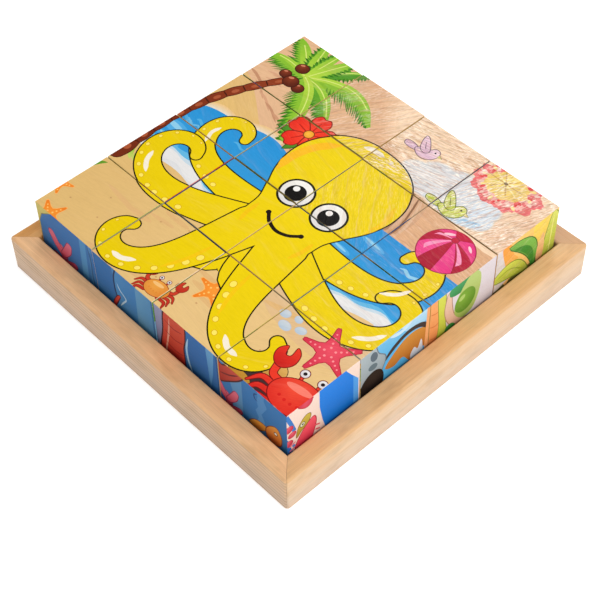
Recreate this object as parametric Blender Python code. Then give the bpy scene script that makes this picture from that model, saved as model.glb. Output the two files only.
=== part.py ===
"""Six-sided picture cube puzzle: sixteen loose wooden cubes standing four by four in a low mitred wooden tray.

Units are metres, +Z is up.  The origin is the centre of the tray's underside.  +X runs along a row of cubes and
+Y runs from the front row to the back row, which is the way the top picture reads upright.
"""

import math

import bmesh
import bpy
from mathutils import Matrix, Vector

# ---------------------------------------------------------------- driving dimensions
GRID = 4  # cubes along each side of the tray
CUBE = 0.0300  # edge of one cube
CUBE_GAP = 0.00035  # mean gap between neighbouring cubes
CUBE_PITCH = CUBE + CUBE_GAP
CUBE_EDGE_R = 0.00055  # sanded edge of a cube

TRAY_OUTER = 0.1374  # outside of the square frame
TRAY_INNER = 0.1230  # clear width between opposite rails
RIM_HEIGHT = 0.0145  # height of the rails
CORNER_R = 0.0013  # eased upright corner of the frame
CORNER_STEPS = 3
RIM_OUTER_R = 0.0010  # eased outer top edge
RIM_INNER_R = 0.0007  # eased inner top edge
RIM_BOTTOM_R = 0.0003  # eased outer bottom edge
TOP_STEPS = 4
BOTTOM_STEPS = 2
MITRE_GAP = 0.0002  # glue line left at each mitred corner

PANEL_T = 0.0014  # thin plywood base
PANEL_CLEARANCE = 0.0003
REBATE_HEIGHT = PANEL_T + 0.0003
REBATE_WIDTH = 0.0036  # how far the rebate goes into the rail
CUBE_FLOOR_Z = PANEL_T + 0.0003  # underside of a cube that stands on the base

PIN_R = 0.0005  # shank of a panel pin
PIN_HEAD_R = 0.0010
PIN_HEAD_T = 0.0004
PIN_RECESS = 0.0001
PIN_LENGTH = 0.0080
PIN_CLEARANCE = 0.00012
PIN_ALONG = 0.0380  # distance of a pin from the middle of its rail
PIN_SIDES = 12

LIFT_TRAVEL = 0.0450  # how far a cube lifts to come clear of its neighbours

# Each cube stands a little off its nominal place, as loose cubes do: column shift, row shift, turn.
# Index [row][column], row 0 at the front, column 0 at the left.  Millimetres and degrees.
LOOSE = (
    ((-0.12, -0.08, 0.08), (0.02, -0.28, -0.05), (0.06, -0.10, 0.04), (0.03, -0.04, 0.08)),
    ((-0.16, -0.10, -0.06), (0.08, -0.06, 0.08), (0.07, -0.08, -0.06), (0.04, -0.06, 0.05)),
    ((-0.02, -0.04, 0.06), (0.03, 0.16, -0.06), (0.06, 0.02, 0.05), (0.02, -0.02, -0.06)),
    ((0.06, 0.02, -0.06), (-0.04, 0.36, 0.05), (-0.03, 0.08, -0.05), (-0.02, 0.04, 0.06)),
)

PINE = (0.79, 0.56, 0.35, 1.0)
PLYWOOD = (0.74, 0.55, 0.36, 1.0)
STEEL = (0.55, 0.55, 0.57, 1.0)
SAND, SEA, YELLOW, GREEN, CORAL = (
    (0.78, 0.53, 0.26, 1.0),
    (0.05, 0.29, 0.62, 1.0),
    (0.90, 0.66, 0.01, 1.0),
    (0.14, 0.42, 0.04, 1.0),
    (0.72, 0.10, 0.05, 1.0),
)
# Main colour of the picture printed on each cube's top, [row][column].
TOP_COLOUR = (
    (SAND, SAND, YELLOW, CORAL),
    (YELLOW, YELLOW, YELLOW, YELLOW),
    (SEA, YELLOW, YELLOW, SEA),
    (GREEN, GREEN, SAND, SAND),
)


# ---------------------------------------------------------------- helpers
def clear_scene():
    for obj in list(bpy.data.objects):
        bpy.data.objects.remove(obj, do_unlink=True)


def material(name, colour, roughness, metallic=0.0, coat=0.0):
    mat = bpy.data.materials.new(name)
    mat.use_nodes = True
    shader = mat.node_tree.nodes["Principled BSDF"]
    shader.inputs["Base Color"].default_value = colour
    shader.inputs["Roughness"].default_value = roughness
    shader.inputs["Metallic"].default_value = metallic
    shader.inputs["Coat Weight"].default_value = coat
    mat.diffuse_color = colour
    return mat


def add_object(name, bm, mat, location=(0, 0, 0), turn=0.0, parent=None, smooth=True):
    bmesh.ops.recalc_face_normals(bm, faces=bm.faces)
    mesh = bpy.data.meshes.new(name)
    bm.to_mesh(mesh)
    bm.free()
    if smooth:
        mesh.shade_smooth()
        mesh.set_sharp_from_angle(angle=math.radians(40))
    if mat:
        mesh.materials.append(mat)
    obj = bpy.data.objects.new(name, mesh)
    bpy.context.scene.collection.objects.link(obj)
    obj.parent = parent
    obj.location = location
    obj.rotation_euler = (0, 0, turn)
    return obj


def add_empty(name, location):
    empty = bpy.data.objects.new(name, None)
    empty.empty_display_size = 0.01
    empty.location = location
    bpy.context.scene.collection.objects.link(empty)
    return empty


# ---------------------------------------------------------------- tray
def rail_outline(inset, inner, z_outer, z_inner):
    """Plan of the front rail between its mitre planes, as a loop of points.

    inset is how far the outer side has curled in, inner is where the inner side lies.
    """
    cut_back = MITRE_GAP / 2 * math.sqrt(2)
    centre = TRAY_OUTER / 2 - CORNER_R
    radius = CORNER_R - inset
    start = -math.pi / 4 - math.asin(cut_back / (math.sqrt(2) * radius))
    right = [(inner - cut_back, -inner, z_inner)]
    for k in range(CORNER_STEPS + 1):
        a = start + (-math.pi / 2 - start) * k / CORNER_STEPS
        right.append((centre + radius * math.cos(a), -centre + radius * math.sin(a), z_outer))
    left = [(-x, y, z) for x, y, z in reversed(right)]
    return right + left


def rail_mesh():
    """The front rail lofted upwards through its plans, from the underside to the flat top."""
    inner = TRAY_INNER / 2
    rebate = inner + REBATE_WIDTH
    loops = []
    for k in range(BOTTOM_STEPS + 1):
        a = math.pi / 2 * k / BOTTOM_STEPS
        inset = RIM_BOTTOM_R * (1 - math.sin(a))
        z = RIM_BOTTOM_R * (1 - math.cos(a))
        loops.append(rail_outline(inset, rebate, z, REBATE_HEIGHT * k / (BOTTOM_STEPS + 1)))
    loops.append(rail_outline(0.0, rebate, REBATE_HEIGHT, REBATE_HEIGHT))
    loops.append(rail_outline(0.0, inner, REBATE_HEIGHT * 1.5, REBATE_HEIGHT))
    for k in range(TOP_STEPS + 1):
        a = math.pi / 2 * k / TOP_STEPS
        loops.append(
            rail_outline(
                RIM_OUTER_R * (1 - math.cos(a)),
                inner + RIM_INNER_R * (1 - math.cos(a)),
                RIM_HEIGHT - RIM_OUTER_R * (1 - math.sin(a)),
                RIM_HEIGHT - RIM_INNER_R * (1 - math.sin(a)),
            )
        )
    bm = bmesh.new()
    rings = [[bm.verts.new(co) for co in loop] for loop in loops]
    count = len(rings[0])
    for low, high in zip(rings, rings[1:]):
        for k in range(count):
            n = (k + 1) % count
            bm.faces.new((low[k], low[n], high[n], high[k]))
    bm.faces.new(rings[0][::-1])
    bm.faces.new(rings[-1])
    return bm


def hide_helper(obj):
    obj.hide_render = True
    obj.display_type = "WIRE"


def pin_profile(clearance):
    """Stepped outline of a panel pin, or of the hole that takes it, as (radius, height) pairs."""
    head_low = PIN_RECESS if clearance == 0 else -0.001
    head_high = PIN_RECESS + PIN_HEAD_T + clearance
    return (
        (PIN_HEAD_R + clearance, head_low),
        (PIN_HEAD_R + clearance, head_high),
        (PIN_R + clearance, head_high),
        (PIN_R + clearance, PIN_LENGTH + clearance),
    )


def turned(profile, centre):
    """A closed turned solid with its axis upright through centre, from (radius, height) pairs, low to high."""
    bm = bmesh.new()
    rings = []
    for radius, z in profile:
        ring = []
        for k in range(PIN_SIDES):
            a = 2 * math.pi * k / PIN_SIDES
            ring.append(bm.verts.new((centre[0] + radius * math.cos(a), centre[1] + radius * math.sin(a), z)))
        rings.append(ring)
    for low, high in zip(rings, rings[1:]):
        for k in range(PIN_SIDES):
            n = (k + 1) % PIN_SIDES
            bm.faces.new((low[k], low[n], high[n], high[k]))
    bm.faces.new(rings[0][::-1])
    bm.faces.new(rings[-1])
    return bm


def pin_centres():
    """Two pins under each rail: front, right, back, left."""
    reach = TRAY_INNER / 2 + REBATE_WIDTH / 2  # under the middle of the rebate
    centres = []
    for k in range(4):
        rot = Matrix.Rotation(k * math.pi / 2, 3, "Z")
        for along in (-PIN_ALONG, PIN_ALONG):
            spot = rot @ Vector((along, -reach, 0))
            centres.append((round(spot.x, 9), round(spot.y, 9)))
    return centres


def cut(target, cutter):
    mod = target.modifiers.new("cut_" + cutter.name, "BOOLEAN")
    mod.operation = "DIFFERENCE"
    mod.solver = "EXACT"
    mod.object = cutter


def base_panel(mat, parent):
    half = TRAY_INNER / 2 + REBATE_WIDTH - PANEL_CLEARANCE
    bm = bmesh.new()
    bmesh.ops.create_cube(bm, size=1.0)
    bmesh.ops.scale(bm, verts=bm.verts, vec=(2 * half, 2 * half, PANEL_T))
    bmesh.ops.translate(bm, verts=bm.verts, vec=(0, 0, PANEL_T / 2))
    return add_object("base_panel", bm, mat, parent=parent, smooth=False)


# ---------------------------------------------------------------- cubes
def cube_mesh():
    bm = bmesh.new()
    bmesh.ops.create_cube(bm, size=CUBE)
    bmesh.ops.bevel(
        bm, geom=bm.edges[:], offset=CUBE_EDGE_R, segments=2, profile=0.5, affect="EDGES"
    )
    return bm


def cube_centre(row, column):
    dx, dy, turn = LOOSE[row][column]
    middle = (GRID - 1) / 2
    return (
        ((column - middle) * CUBE_PITCH + dx / 1000, (row - middle) * CUBE_PITCH + dy / 1000, CUBE_FLOOR_Z + CUBE / 2),
        math.radians(turn),
    )


def main():
    clear_scene()
    tray = add_empty("tray_frame", (0, 0, 0))

    pin_spots = pin_centres()
    rails = []
    for k, side in enumerate(("front", "right", "back", "left")):
        shade = 1.0 - 0.03 * (k % 2)
        mat = material("pine_" + side, (PINE[0] * shade, PINE[1] * shade, PINE[2] * shade, 1.0), 0.5, coat=0.1)
        rails.append(add_object("rail_" + side, rail_mesh(), mat, turn=k * math.pi / 2, parent=tray))
    panel = base_panel(material("thin_plywood", PLYWOOD, 0.6), tray)

    steel = material("pin_steel", STEEL, 0.35, metallic=1.0)
    for n, spot in enumerate(pin_spots):
        add_object("panel_pin_%d" % (n + 1), turned(pin_profile(0), spot), steel, parent=tray)
        hole = add_object("pin_hole_%d" % (n + 1), turned(pin_profile(PIN_CLEARANCE), spot), None)
        hide_helper(hole)
        cut(panel, hole)
        cut(rails[n // 2], hole)

    for row in range(GRID):
        for column in range(GRID):
            label = "r%dc%d" % (row + 1, column + 1)
            centre, turn = cube_centre(row, column)
            # The cube hangs on an empty that stands on its lift axis.
            axis = add_empty("lift_axis_" + label, centre)
            axis.parent = tray
            mat = material("print_" + label, TOP_COLOUR[row][column], 0.3, coat=0.6)
            add_object("picture_cube_" + label, cube_mesh(), mat, turn=turn, parent=axis)


main()
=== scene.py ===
import math

import bpy
import numpy as np
from mathutils import Matrix, Vector
from mathutils.geometry import delaunay_2d_cdt


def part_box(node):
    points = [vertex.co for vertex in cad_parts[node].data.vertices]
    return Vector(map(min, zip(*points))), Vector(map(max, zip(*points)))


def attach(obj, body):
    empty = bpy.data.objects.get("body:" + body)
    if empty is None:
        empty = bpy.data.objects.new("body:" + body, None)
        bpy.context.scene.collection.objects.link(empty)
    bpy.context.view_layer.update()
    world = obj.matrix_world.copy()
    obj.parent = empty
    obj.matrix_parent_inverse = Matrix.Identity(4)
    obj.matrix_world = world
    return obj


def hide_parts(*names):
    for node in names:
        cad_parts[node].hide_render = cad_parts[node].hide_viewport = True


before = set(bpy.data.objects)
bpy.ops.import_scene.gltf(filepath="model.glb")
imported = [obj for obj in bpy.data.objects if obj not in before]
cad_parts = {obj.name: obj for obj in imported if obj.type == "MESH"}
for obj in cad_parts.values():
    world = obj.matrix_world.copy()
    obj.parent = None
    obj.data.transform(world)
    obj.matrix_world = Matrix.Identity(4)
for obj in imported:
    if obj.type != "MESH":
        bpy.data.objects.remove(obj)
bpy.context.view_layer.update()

MM = 0.001
HALF = 15.05  # half of a cube's edge with its ink and varnish, mm
EDGE_R = 0.24  # rounding of a printed cube's edge, mm
FLAT = HALF - EDGE_R
STATIONS = 48  # steps along each edge of a face
ARC = 4  # steps round each edge


# ================================================================ colour helpers
def linear(c):
    c = np.asarray(c, float) / 255.0
    return np.where(c <= 0.04045, c / 12.92, ((c + 0.055) / 1.055) ** 2.4)


def rgba(c):
    return tuple(float(v) for v in linear(c)) + (1.0,)


# ================================================================ drawing: curves
def spline(points, per=8, closed=False):
    """Smooth samples through the points (Catmull-Rom); a point may carry further values, such as a radius."""
    p = np.asarray(points, float)
    if closed:
        p = np.vstack([p[-1], p, p[0], p[1]])
    else:
        p = np.vstack([2 * p[0] - p[1], p, 2 * p[-1] - p[-2]])
    out = []
    t = (np.arange(per) / per)[:, None]
    for k in range(1, len(p) - 2):
        a, b, c, d = p[k - 1], p[k], p[k + 1], p[k + 2]
        out.append(
            0.5 * (2 * b + (c - a) * t + (2 * a - 5 * b + 4 * c - d) * t**2 + (3 * b - a - 3 * c + d) * t**3)
        )
    out = np.vstack(out)
    return out if closed else np.vstack([out, p[-2]])


def poly(*points):
    return [np.asarray(points, float)]


def smooth(*points, per=7):
    return [spline(points, per, closed=True)]


def ellipse(x, y, rx, ry=None, rot=0.0, n=None, a0=0.0, a1=360.0):
    ry = rx if ry is None else ry
    n = n or max(14, min(64, int(8 * math.sqrt(max(rx, ry)) * 2)))
    if a1 - a0 >= 360:
        a = np.arange(n) * 2 * math.pi / n
    else:
        a = np.radians(np.linspace(a0, a1, n))
    r = math.radians(rot)
    ex, ey = rx * np.cos(a), ry * np.sin(a)
    return [np.stack([x + ex * math.cos(r) - ey * math.sin(r), y + ex * math.sin(r) + ey * math.cos(r)], 1)]


def tube(points, grow=0.0, per=7, cap=7):
    """A tapering limb with round ends, from (x, y, radius) points."""
    s = spline(points, per)
    c, r = s[:, :2], s[:, 2] + grow
    d = np.gradient(c, axis=0)
    d /= np.linalg.norm(d, axis=1)[:, None] + 1e-12
    n = np.stack([-d[:, 1], d[:, 0]], 1)
    left, right = c + n * r[:, None], c - n * r[:, None]

    def round_end(centre, direction, radius):
        base = math.atan2(direction[1], direction[0])
        a = base + np.linspace(math.pi / 2, -math.pi / 2, cap + 2)[1:-1]
        return centre + radius * np.stack([np.cos(a), np.sin(a)], 1)

    return [np.vstack([left, round_end(c[-1], d[-1], r[-1]), right[::-1], round_end(c[0], -d[0], r[0])])]


def stroke(points, width, per=7, closed=False, taper=False):
    """A drawn line of the given width."""
    c = spline(points, per, closed)
    if closed:
        d = np.roll(c, -1, 0) - np.roll(c, 1, 0)
    else:
        d = np.gradient(c, axis=0)
    d /= np.linalg.norm(d, axis=1)[:, None] + 1e-12
    n = np.stack([-d[:, 1], d[:, 0]], 1)
    w = np.full(len(c), width / 2)
    if taper:
        w *= np.clip(np.sin(np.linspace(0.12, math.pi - 0.12, len(c))) * 1.6, 0.15, 1.0)
    left, right = c + n * w[:, None], c - n * w[:, None]
    if closed:
        return [left, right[::-1]]
    return [np.vstack([left, right[::-1]])]


def outline(loops, width):
    """A drawn line round a shape's first loop."""
    c = loops[0]
    d = np.roll(c, -1, 0) - np.roll(c, 1, 0)
    d /= np.linalg.norm(d, axis=1)[:, None] + 1e-12
    n = np.stack([-d[:, 1], d[:, 0]], 1)
    return [c + n * width / 2, (c - n * width / 2)[::-1]]


def star(x, y, r, inner=0.42, arms=5, rot=90.0, fat=0.5):
    """A starfish: rounded arms round a soft middle."""
    pts = []
    for k in range(arms):
        a = math.radians(rot + k * 360 / arms)
        h = math.pi / arms
        for da, rr in ((-0.16 * fat, 0.97), (0.0, 1.0), (0.16 * fat, 0.97), (h, inner)):
            pts.append((x + r * rr * math.cos(a + da), y + r * rr * math.sin(a + da)))
    return smooth(*pts, per=3)


def leaf(x0, y0, x1, y1, width, bend=0.0, n=12):
    """A pointed leaf from one end to the other."""
    p0, p1 = np.array([x0, y0]), np.array([x1, y1])
    d = p1 - p0
    length = np.linalg.norm(d)
    d /= length
    q = np.array([-d[1], d[0]])
    t = np.linspace(0, 1, n)
    mid = p0 + np.outer(t, d) * length + np.outer(4 * t * (1 - t), q) * bend
    w = width / 2 * np.sin(np.pi * t**0.8) ** 0.8
    return [np.vstack([mid + w[:, None] * q, (mid - w[:, None] * q)[::-1][1:-1]])]


def paint(c0, c1=None, p0=None, p1=None, radius=None, power=1.0):
    """Colour of a shape: plain, blended from p0 to p1, or blended outwards from p0 over a radius."""
    a = np.asarray(c0, float)
    if c1 is None:
        return lambda x, y: np.broadcast_to(a, x.shape + (3,))
    b = np.asarray(c1, float)
    if radius:
        def shade(x, y):
            t = np.clip(np.hypot(x - p0[0], y - p0[1]) / radius, 0, 1) ** power
            return a + (b - a) * t[..., None]
    else:
        v = np.asarray(p1, float) - np.asarray(p0, float)
        n = v @ v

        def shade(x, y):
            t = np.clip(((x - p0[0]) * v[0] + (y - p0[1]) * v[1]) / n, 0, 1) ** power
            return a + (b - a) * t[..., None]
    return shade


class Picture:
    """A stack of flat shapes, drawn in order, on a square of four by four cells of 30 mm."""

    def __init__(self, ground):
        self.shapes = []
        self.ground = ground

    def add(self, loops, colour, *more, line=None, width=0.45, **kw):
        """Adds a filled shape, with a drawn line round it where a line colour is given."""
        self.shapes.append((loops, colour if callable(colour) else paint(colour, *more, **kw)))
        if line is not None:
            self.shapes.append((outline(loops, width), paint(line)))
        return self

    def freeze(self, tone=(1.0, 1.0, 1.0)):
        """Readies the picture for cutting into cells; tone scales each colour, and the side and bottom pictures are set
        darker than the top as painted shade.
        """
        self.tone = np.array(tone)
        self.ready = []
        for loops, shade in self.shapes:
            a = np.vstack(loops)
            b = np.vstack([np.roll(lp, -1, 0) for lp in loops])
            self.ready.append((a, b, shade, a.min(0), a.max(0)))
        return self


def inside(a, b, x, y):
    """Which of the points lie inside the closed loops with edges a to b (nonzero winding)."""
    out = np.zeros(len(x), int)
    for s in range(0, len(x), 4000):
        px, py = x[s:s + 4000, None], y[s:s + 4000, None]
        up = (a[None, :, 1] <= py) & (b[None, :, 1] > py)
        down = (a[None, :, 1] > py) & (b[None, :, 1] <= py)
        left = (b[None, :, 0] - a[None, :, 0]) * (py - a[None, :, 1]) - (px - a[None, :, 0]) * (b[None, :, 1] - a[None, :, 1])
        out[s:s + 4000] = (up & (left > 0)).sum(1) - (down & (left < 0)).sum(1)
    return out != 0


class Cell:
    """One 30 mm cell of a picture, as a cube's face sees it: s and t run from -15 to 15 on the face."""

    def __init__(self, picture, column, row, turn=0):
        self.centre = np.array([-45.0 + 30 * column, -45.0 + 30 * row])
        a = math.radians(90 * turn)
        self.m = np.array([[math.cos(a), -math.sin(a)], [math.sin(a), math.cos(a)]])
        lo, hi = self.centre - HALF - 0.5, self.centre + HALF + 0.5
        self.shapes = []
        for pa, pb, shade, mn, mx in picture.ready:
            if (mx > lo).all() and (mn < hi).all():
                self.shapes.append(((pa - self.centre) @ self.m, (pb - self.centre) @ self.m, shade))
        self.ground, self.tone = picture.ground, picture.tone

    def to_picture(self, s, t):
        q = np.stack([s, t], -1) @ self.m.T + self.centre
        return q[..., 0], q[..., 1]

    def which(self, s, t):
        """Index of the topmost shape over each point, -1 for the ground."""
        top = np.full(len(s), -1)
        for k, (a, b, _) in enumerate(self.shapes):
            mn, mx = a.min(0), a.max(0)
            near = np.nonzero((s >= mn[0]) & (s <= mx[0]) & (t >= mn[1]) & (t <= mx[1]))[0]
            if len(near):
                hit = near[inside(a, b, s[near], t[near])]
                top[hit] = k
        return top

    def colour(self, index, s, t):
        """Colours at points s, t (any shape) that belong to the shapes given by index (same leading shape)."""
        x, y = self.to_picture(s, t)
        out = np.zeros(s.shape + (3,))
        for k in np.unique(index):
            m = index == k
            shade = self.ground if k < 0 else self.shapes[k][2]
            out[m] = shade(x[m], y[m]) * self.tone
        return out

    def segments(self, limit):
        """The drawn edges that can be seen, clipped to the square of the given half size."""
        found = []
        for k, (a, b, _) in enumerate(self.shapes):
            d = b - a
            t0, t1 = np.zeros(len(a)), np.ones(len(a))
            ok = np.ones(len(a), bool)
            for axis in (0, 1):
                for sign in (1, -1):
                    p = sign * d[:, axis]
                    q = limit - sign * a[:, axis]
                    with np.errstate(divide="ignore", invalid="ignore"):
                        r = q / p
                    ok &= ~((np.abs(p) < 1e-12) & (q < 0))
                    t1 = np.where(p > 1e-12, np.minimum(t1, r), t1)
                    t0 = np.where(p < -1e-12, np.maximum(t0, r), t0)
            ok &= t1 - t0 > 1e-6
            if not ok.any():
                continue
            p, q = (a + d * t0[:, None])[ok], (a + d * t1[:, None])[ok]
            found.append((k, p, q))
        keep = []
        for k, p, q in found:
            mid = (p + q) / 2
            live = np.ones(len(mid), bool)
            for j in range(k + 1, len(self.shapes)):
                a, b = self.shapes[j][0], self.shapes[j][1]
                mn, mx = a.min(0), a.max(0)
                near = np.nonzero(live & (mid[:, 0] > mn[0]) & (mid[:, 0] < mx[0]) & (mid[:, 1] > mn[1]) & (mid[:, 1] < mx[1]))[0]
                if len(near):
                    live[near[inside(a, b, mid[near, 0], mid[near, 1])]] = False
            if live.any():
                keep.append((p[live], q[live]))
        return keep


# ================================================================ printed cubes
# Each face has a centre direction n and runs along u and v, with u x v = n.
FACES = {
    "top": ((0, 0, 1), (1, 0, 0), (0, 1, 0)),
    "bottom": ((0, 0, -1), (1, 0, 0), (0, -1, 0)),
    "front": ((0, -1, 0), (1, 0, 0), (0, 0, 1)),
    "right": ((1, 0, 0), (0, 1, 0), (0, 0, 1)),
    "back": ((0, 1, 0), (-1, 0, 0), (0, 0, 1)),
    "left": ((-1, 0, 0), (0, -1, 0), (0, 0, 1)),
}
FACES = {k: tuple(np.array(v, float) for v in f) for k, f in FACES.items()}


def face_patch(cell, pitch):
    """Triangles of one flat printed face, cut along the drawn edges.  Returns points, triangles and corner colours."""
    step = np.linspace(-FLAT, FLAT, STATIONS + 1)
    ring = (
        [(x, -FLAT) for x in step[:-1]] + [(FLAT, y) for y in step[:-1]]
        + [(x, FLAT) for x in step[::-1][:-1]] + [(-FLAT, y) for y in step[::-1][:-1]]
    )
    count = len(ring)
    coords = [Vector(c) for c in ring]
    edges = [(k, (k + 1) % count) for k in range(count)]
    g = np.arange(-FLAT + pitch * 0.7, FLAT - pitch * 0.4, pitch)
    for j, gy in enumerate(g):
        for gx in g + (pitch / 2 if j % 2 else 0):
            if gx < FLAT - 0.3:
                coords.append(Vector((gx, gy)))
    for p, q in cell.segments(FLAT - 0.03):
        for (px, py), (qx, qy) in zip(p, q):
            edges.append((len(coords), len(coords) + 1))
            coords.append(Vector((px, py)))
            coords.append(Vector((qx, qy)))
    verts, _, tris, *_ = delaunay_2d_cdt(coords, edges, [], 0, 2e-4, False)
    xy = np.array([(v.x, v.y) for v in verts])
    tris = np.array([t for t in tris if len(t) == 3])
    a, b, c = xy[tris[:, 0]], xy[tris[:, 1]], xy[tris[:, 2]]
    area = (b[:, 0] - a[:, 0]) * (c[:, 1] - a[:, 1]) - (b[:, 1] - a[:, 1]) * (c[:, 0] - a[:, 0])
    tris[area < 0] = tris[area < 0][:, ::-1]
    mid = xy[tris].mean(1)
    index = cell.which(mid[:, 0], mid[:, 1])
    corners = xy[tris]
    colour = cell.colour(index, corners[:, :, 0], corners[:, :, 1])
    return xy, tris, colour


def cube_mesh(name, cells, grain, pitches, relief, edge_ink_and_shade):
    """A closed cube with rounded edges, its six faces cut and coloured by their cells."""
    pos, nor, tri, col, edge = [], [], [], [], []
    side_ids = {}
    base = 0
    step = np.linspace(-FLAT, FLAT, STATIONS + 1)
    for key, (n, u, v) in FACES.items():
        xy, t, c = face_patch(cells[key], pitches[key])
        pos.append(n * HALF + xy[:, :1] * u + xy[:, 1:] * v)
        nor.append(np.repeat(n[None], len(xy), 0))
        edge.append(np.zeros(len(xy)))
        tri.append(t + base)
        col.append(c)
        for side, (axis, value) in {"u+": (0, FLAT), "u-": (0, -FLAT), "v+": (1, FLAT), "v-": (1, -FLAT)}.items():
            on = np.nonzero(np.abs(xy[:, axis] - value) < 5e-4)[0]
            on = on[np.argsort(xy[on, 1 - axis])]
            if len(on) != STATIONS + 1 or np.abs(xy[on, 1 - axis] - step).max() > 1e-2:
                raise RuntimeError(f"{name}: face {key} side {side} has {len(on)} border points")
            side_ids[key, side] = on + base
        base += len(xy)
    names = list(FACES)

    def side_of(key, direction):
        _, u, v = FACES[key]
        for tag, vec in (("u+", u), ("u-", -u), ("v+", v), ("v-", -v)):
            if np.dot(vec, direction) > 0.9:
                return tag
        raise RuntimeError("no such side")

    arcs = {}  # ids along the arc at each end of each strip, from face A to face B

    def corner_key(p):
        return tuple(int(round(x)) for x in np.sign(p))

    for i, ka in enumerate(names):
        for kb in names[i + 1:]:
            na, nb = FACES[ka][0], FACES[kb][0]
            if abs(np.dot(na, nb)) > 0.5:
                continue
            along = np.cross(na, nb)
            ida = side_ids[ka, side_of(ka, nb)]
            idb = side_ids[kb, side_of(kb, na)]
            allpos = np.vstack(pos)
            if np.dot(allpos[ida[-1]] - allpos[ida[0]], along) < 0:
                ida = ida[::-1]
            if np.dot(allpos[idb[-1]] - allpos[idb[0]], along) < 0:
                idb = idb[::-1]
            rows = [ida]
            for k in range(1, ARC):
                th = math.pi / 2 * k / ARC
                d = math.cos(th) * na + math.sin(th) * nb
                line = (na + nb) * FLAT + step[:, None] * along[None] + d * EDGE_R
                rows.append(np.arange(len(step)) + base)
                pos.append(line)
                nor.append(np.repeat(d[None], len(step), 0))
                edge.append(np.full(len(step), math.sin(2 * th)))
                base += len(step)
            rows.append(idb)
            for k in range(ARC):
                lo, hi = rows[k], rows[k + 1]
                first = ka if k < ARC / 2 else kb
                n, u, v = FACES[first]
                other = nb if first == ka else na
                th = math.pi / 2 * ((k + 0.5) if first == ka else (ARC - k - 0.5)) / ARC
                mid = (step[:-1] + step[1:]) / 2
                p = other * (FLAT + EDGE_R * math.sin(th)) + mid[:, None] * along[None]
                s, t = p @ u, p @ v
                cell = cells[first]
                c = cell.colour(cell.which(s, t), s[:, None], t[:, None])
                # blends colour over the edge strips next to the top: a side's wrapping ink, and painted shade in the
                # seams between cubes
                if "top" in (ka, kb) and (kb if ka == "top" else ka) in edge_ink_and_shade:
                    ink, share = edge_ink_and_shade[kb if ka == "top" else ka]
                    share = share * (1.0 if first != "top" else 0.35)
                    c = c * (1 - share) + np.asarray(ink, float) * share
                # lo -> hi turns from A towards B; with along = nA x nB the outward order is lo, lo+1, hi+1, hi reversed
                q1 = np.stack([lo[:-1], hi[:-1], hi[1:]], 1)
                q2 = np.stack([lo[:-1], hi[1:], lo[1:]], 1)
                tri += [q1, q2]
                cc = np.repeat(c, 3, 1)
                col += [cc, cc]
            for end in (0, -1):
                p = (na + nb) + (along if end == -1 else -along)
                ids = [r[end] for r in rows]
                arcs.setdefault(corner_key(p), {})[(ka, kb)] = ids
    for key, three in arcs.items():
        sx = np.array(key, float)
        centre = sx * FLAT + sx / math.sqrt(3) * EDGE_R
        pos.append(centre[None])
        nor.append((sx / math.sqrt(3))[None])
        edge.append(np.ones(1))
        hub = base
        base += 1
        allpos = np.vstack(pos)
        parts = [list(v) for v in three.values()]
        loop = parts.pop(0)
        while parts:
            for part in parts:
                if part[0] == loop[-1]:
                    loop += part[1:]
                elif part[-1] == loop[-1]:
                    loop += part[::-1][1:]
                else:
                    continue
                parts.remove(part)
                break
        loop = loop[:-1]
        ring = np.array(loop)
        nxt = np.roll(ring, -1)
        t = np.stack([np.full(len(ring), hub), ring, nxt], 1)
        test = np.cross(allpos[t[0, 1]] - allpos[t[0, 0]], allpos[t[0, 2]] - allpos[t[0, 0]])
        if test @ sx < 0:
            t = t[:, ::-1]
        tri.append(t)
        cell = cells["top" if sx[2] > 0 else "bottom"]
        n, u, v = FACES["top" if sx[2] > 0 else "bottom"]
        q = sx * (HALF - 0.3)
        s, tt = np.array([q @ u]), np.array([q @ v])
        c = cell.colour(cell.which(s, tt), s[:, None], tt[:, None])
        col.append(np.broadcast_to(c, (len(ring), 3, 3)))
    pos, nor, edge = np.vstack(pos), np.vstack(nor), np.concatenate(edge)
    tri, col = np.vstack(tri), np.vstack(col)
    # Every triangle faces outwards.
    a, b, c = pos[tri[:, 0]], pos[tri[:, 1]], pos[tri[:, 2]]
    out = np.einsum("ij,ij->i", np.cross(b - a, c - a), (nor[tri[:, 0]] + nor[tri[:, 1]] + nor[tri[:, 2]]))
    flip = out < 0
    tri[flip] = tri[flip][:, ::-1]
    col[flip] = col[flip][:, ::-1]

    mesh = bpy.data.meshes.new(name)
    mesh.vertices.add(len(pos))
    mesh.vertices.foreach_set("co", (pos * MM).astype(np.float32).ravel())
    mesh.loops.add(tri.size)
    mesh.loops.foreach_set("vertex_index", tri.astype(np.int32).ravel())
    mesh.polygons.add(len(tri))
    mesh.polygons.foreach_set("loop_start", np.arange(0, tri.size, 3, dtype=np.int32))
    mesh.update(calc_edges=True)
    mesh.validate()
    mesh.shade_smooth()
    attr = mesh.color_attributes.new("print", "FLOAT_COLOR", "CORNER")
    lin = np.ones((tri.size, 4), np.float32)
    lin[:, :3] = linear(np.clip(col, 0, 255)).reshape(-1, 3)
    attr.data.foreach_set("color", lin.ravel())
    worn = mesh.attributes.new("worn", "FLOAT", "POINT")
    worn.data.foreach_set("value", edge.astype(np.float32))
    wood = mesh.attributes.new("wood", "FLOAT_VECTOR", "POINT")
    wood.data.foreach_set("vector", (pos @ grain["turn"].T + grain["shift"]).astype(np.float32).ravel())
    depth = mesh.attributes.new("relief", "FLOAT", "POINT")
    # the sides carry a thicker print, and their grain stands out less
    depth.data.foreach_set("value", np.where(nor[:, 2] > 0.5, relief, relief * 0.35).astype(np.float32))
    mesh.normals_split_custom_set_from_vertices([tuple(v) for v in nor])
    return mesh


# ================================================================ picture 1: the beach (top faces)
INK = (30, 28, 8)


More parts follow.
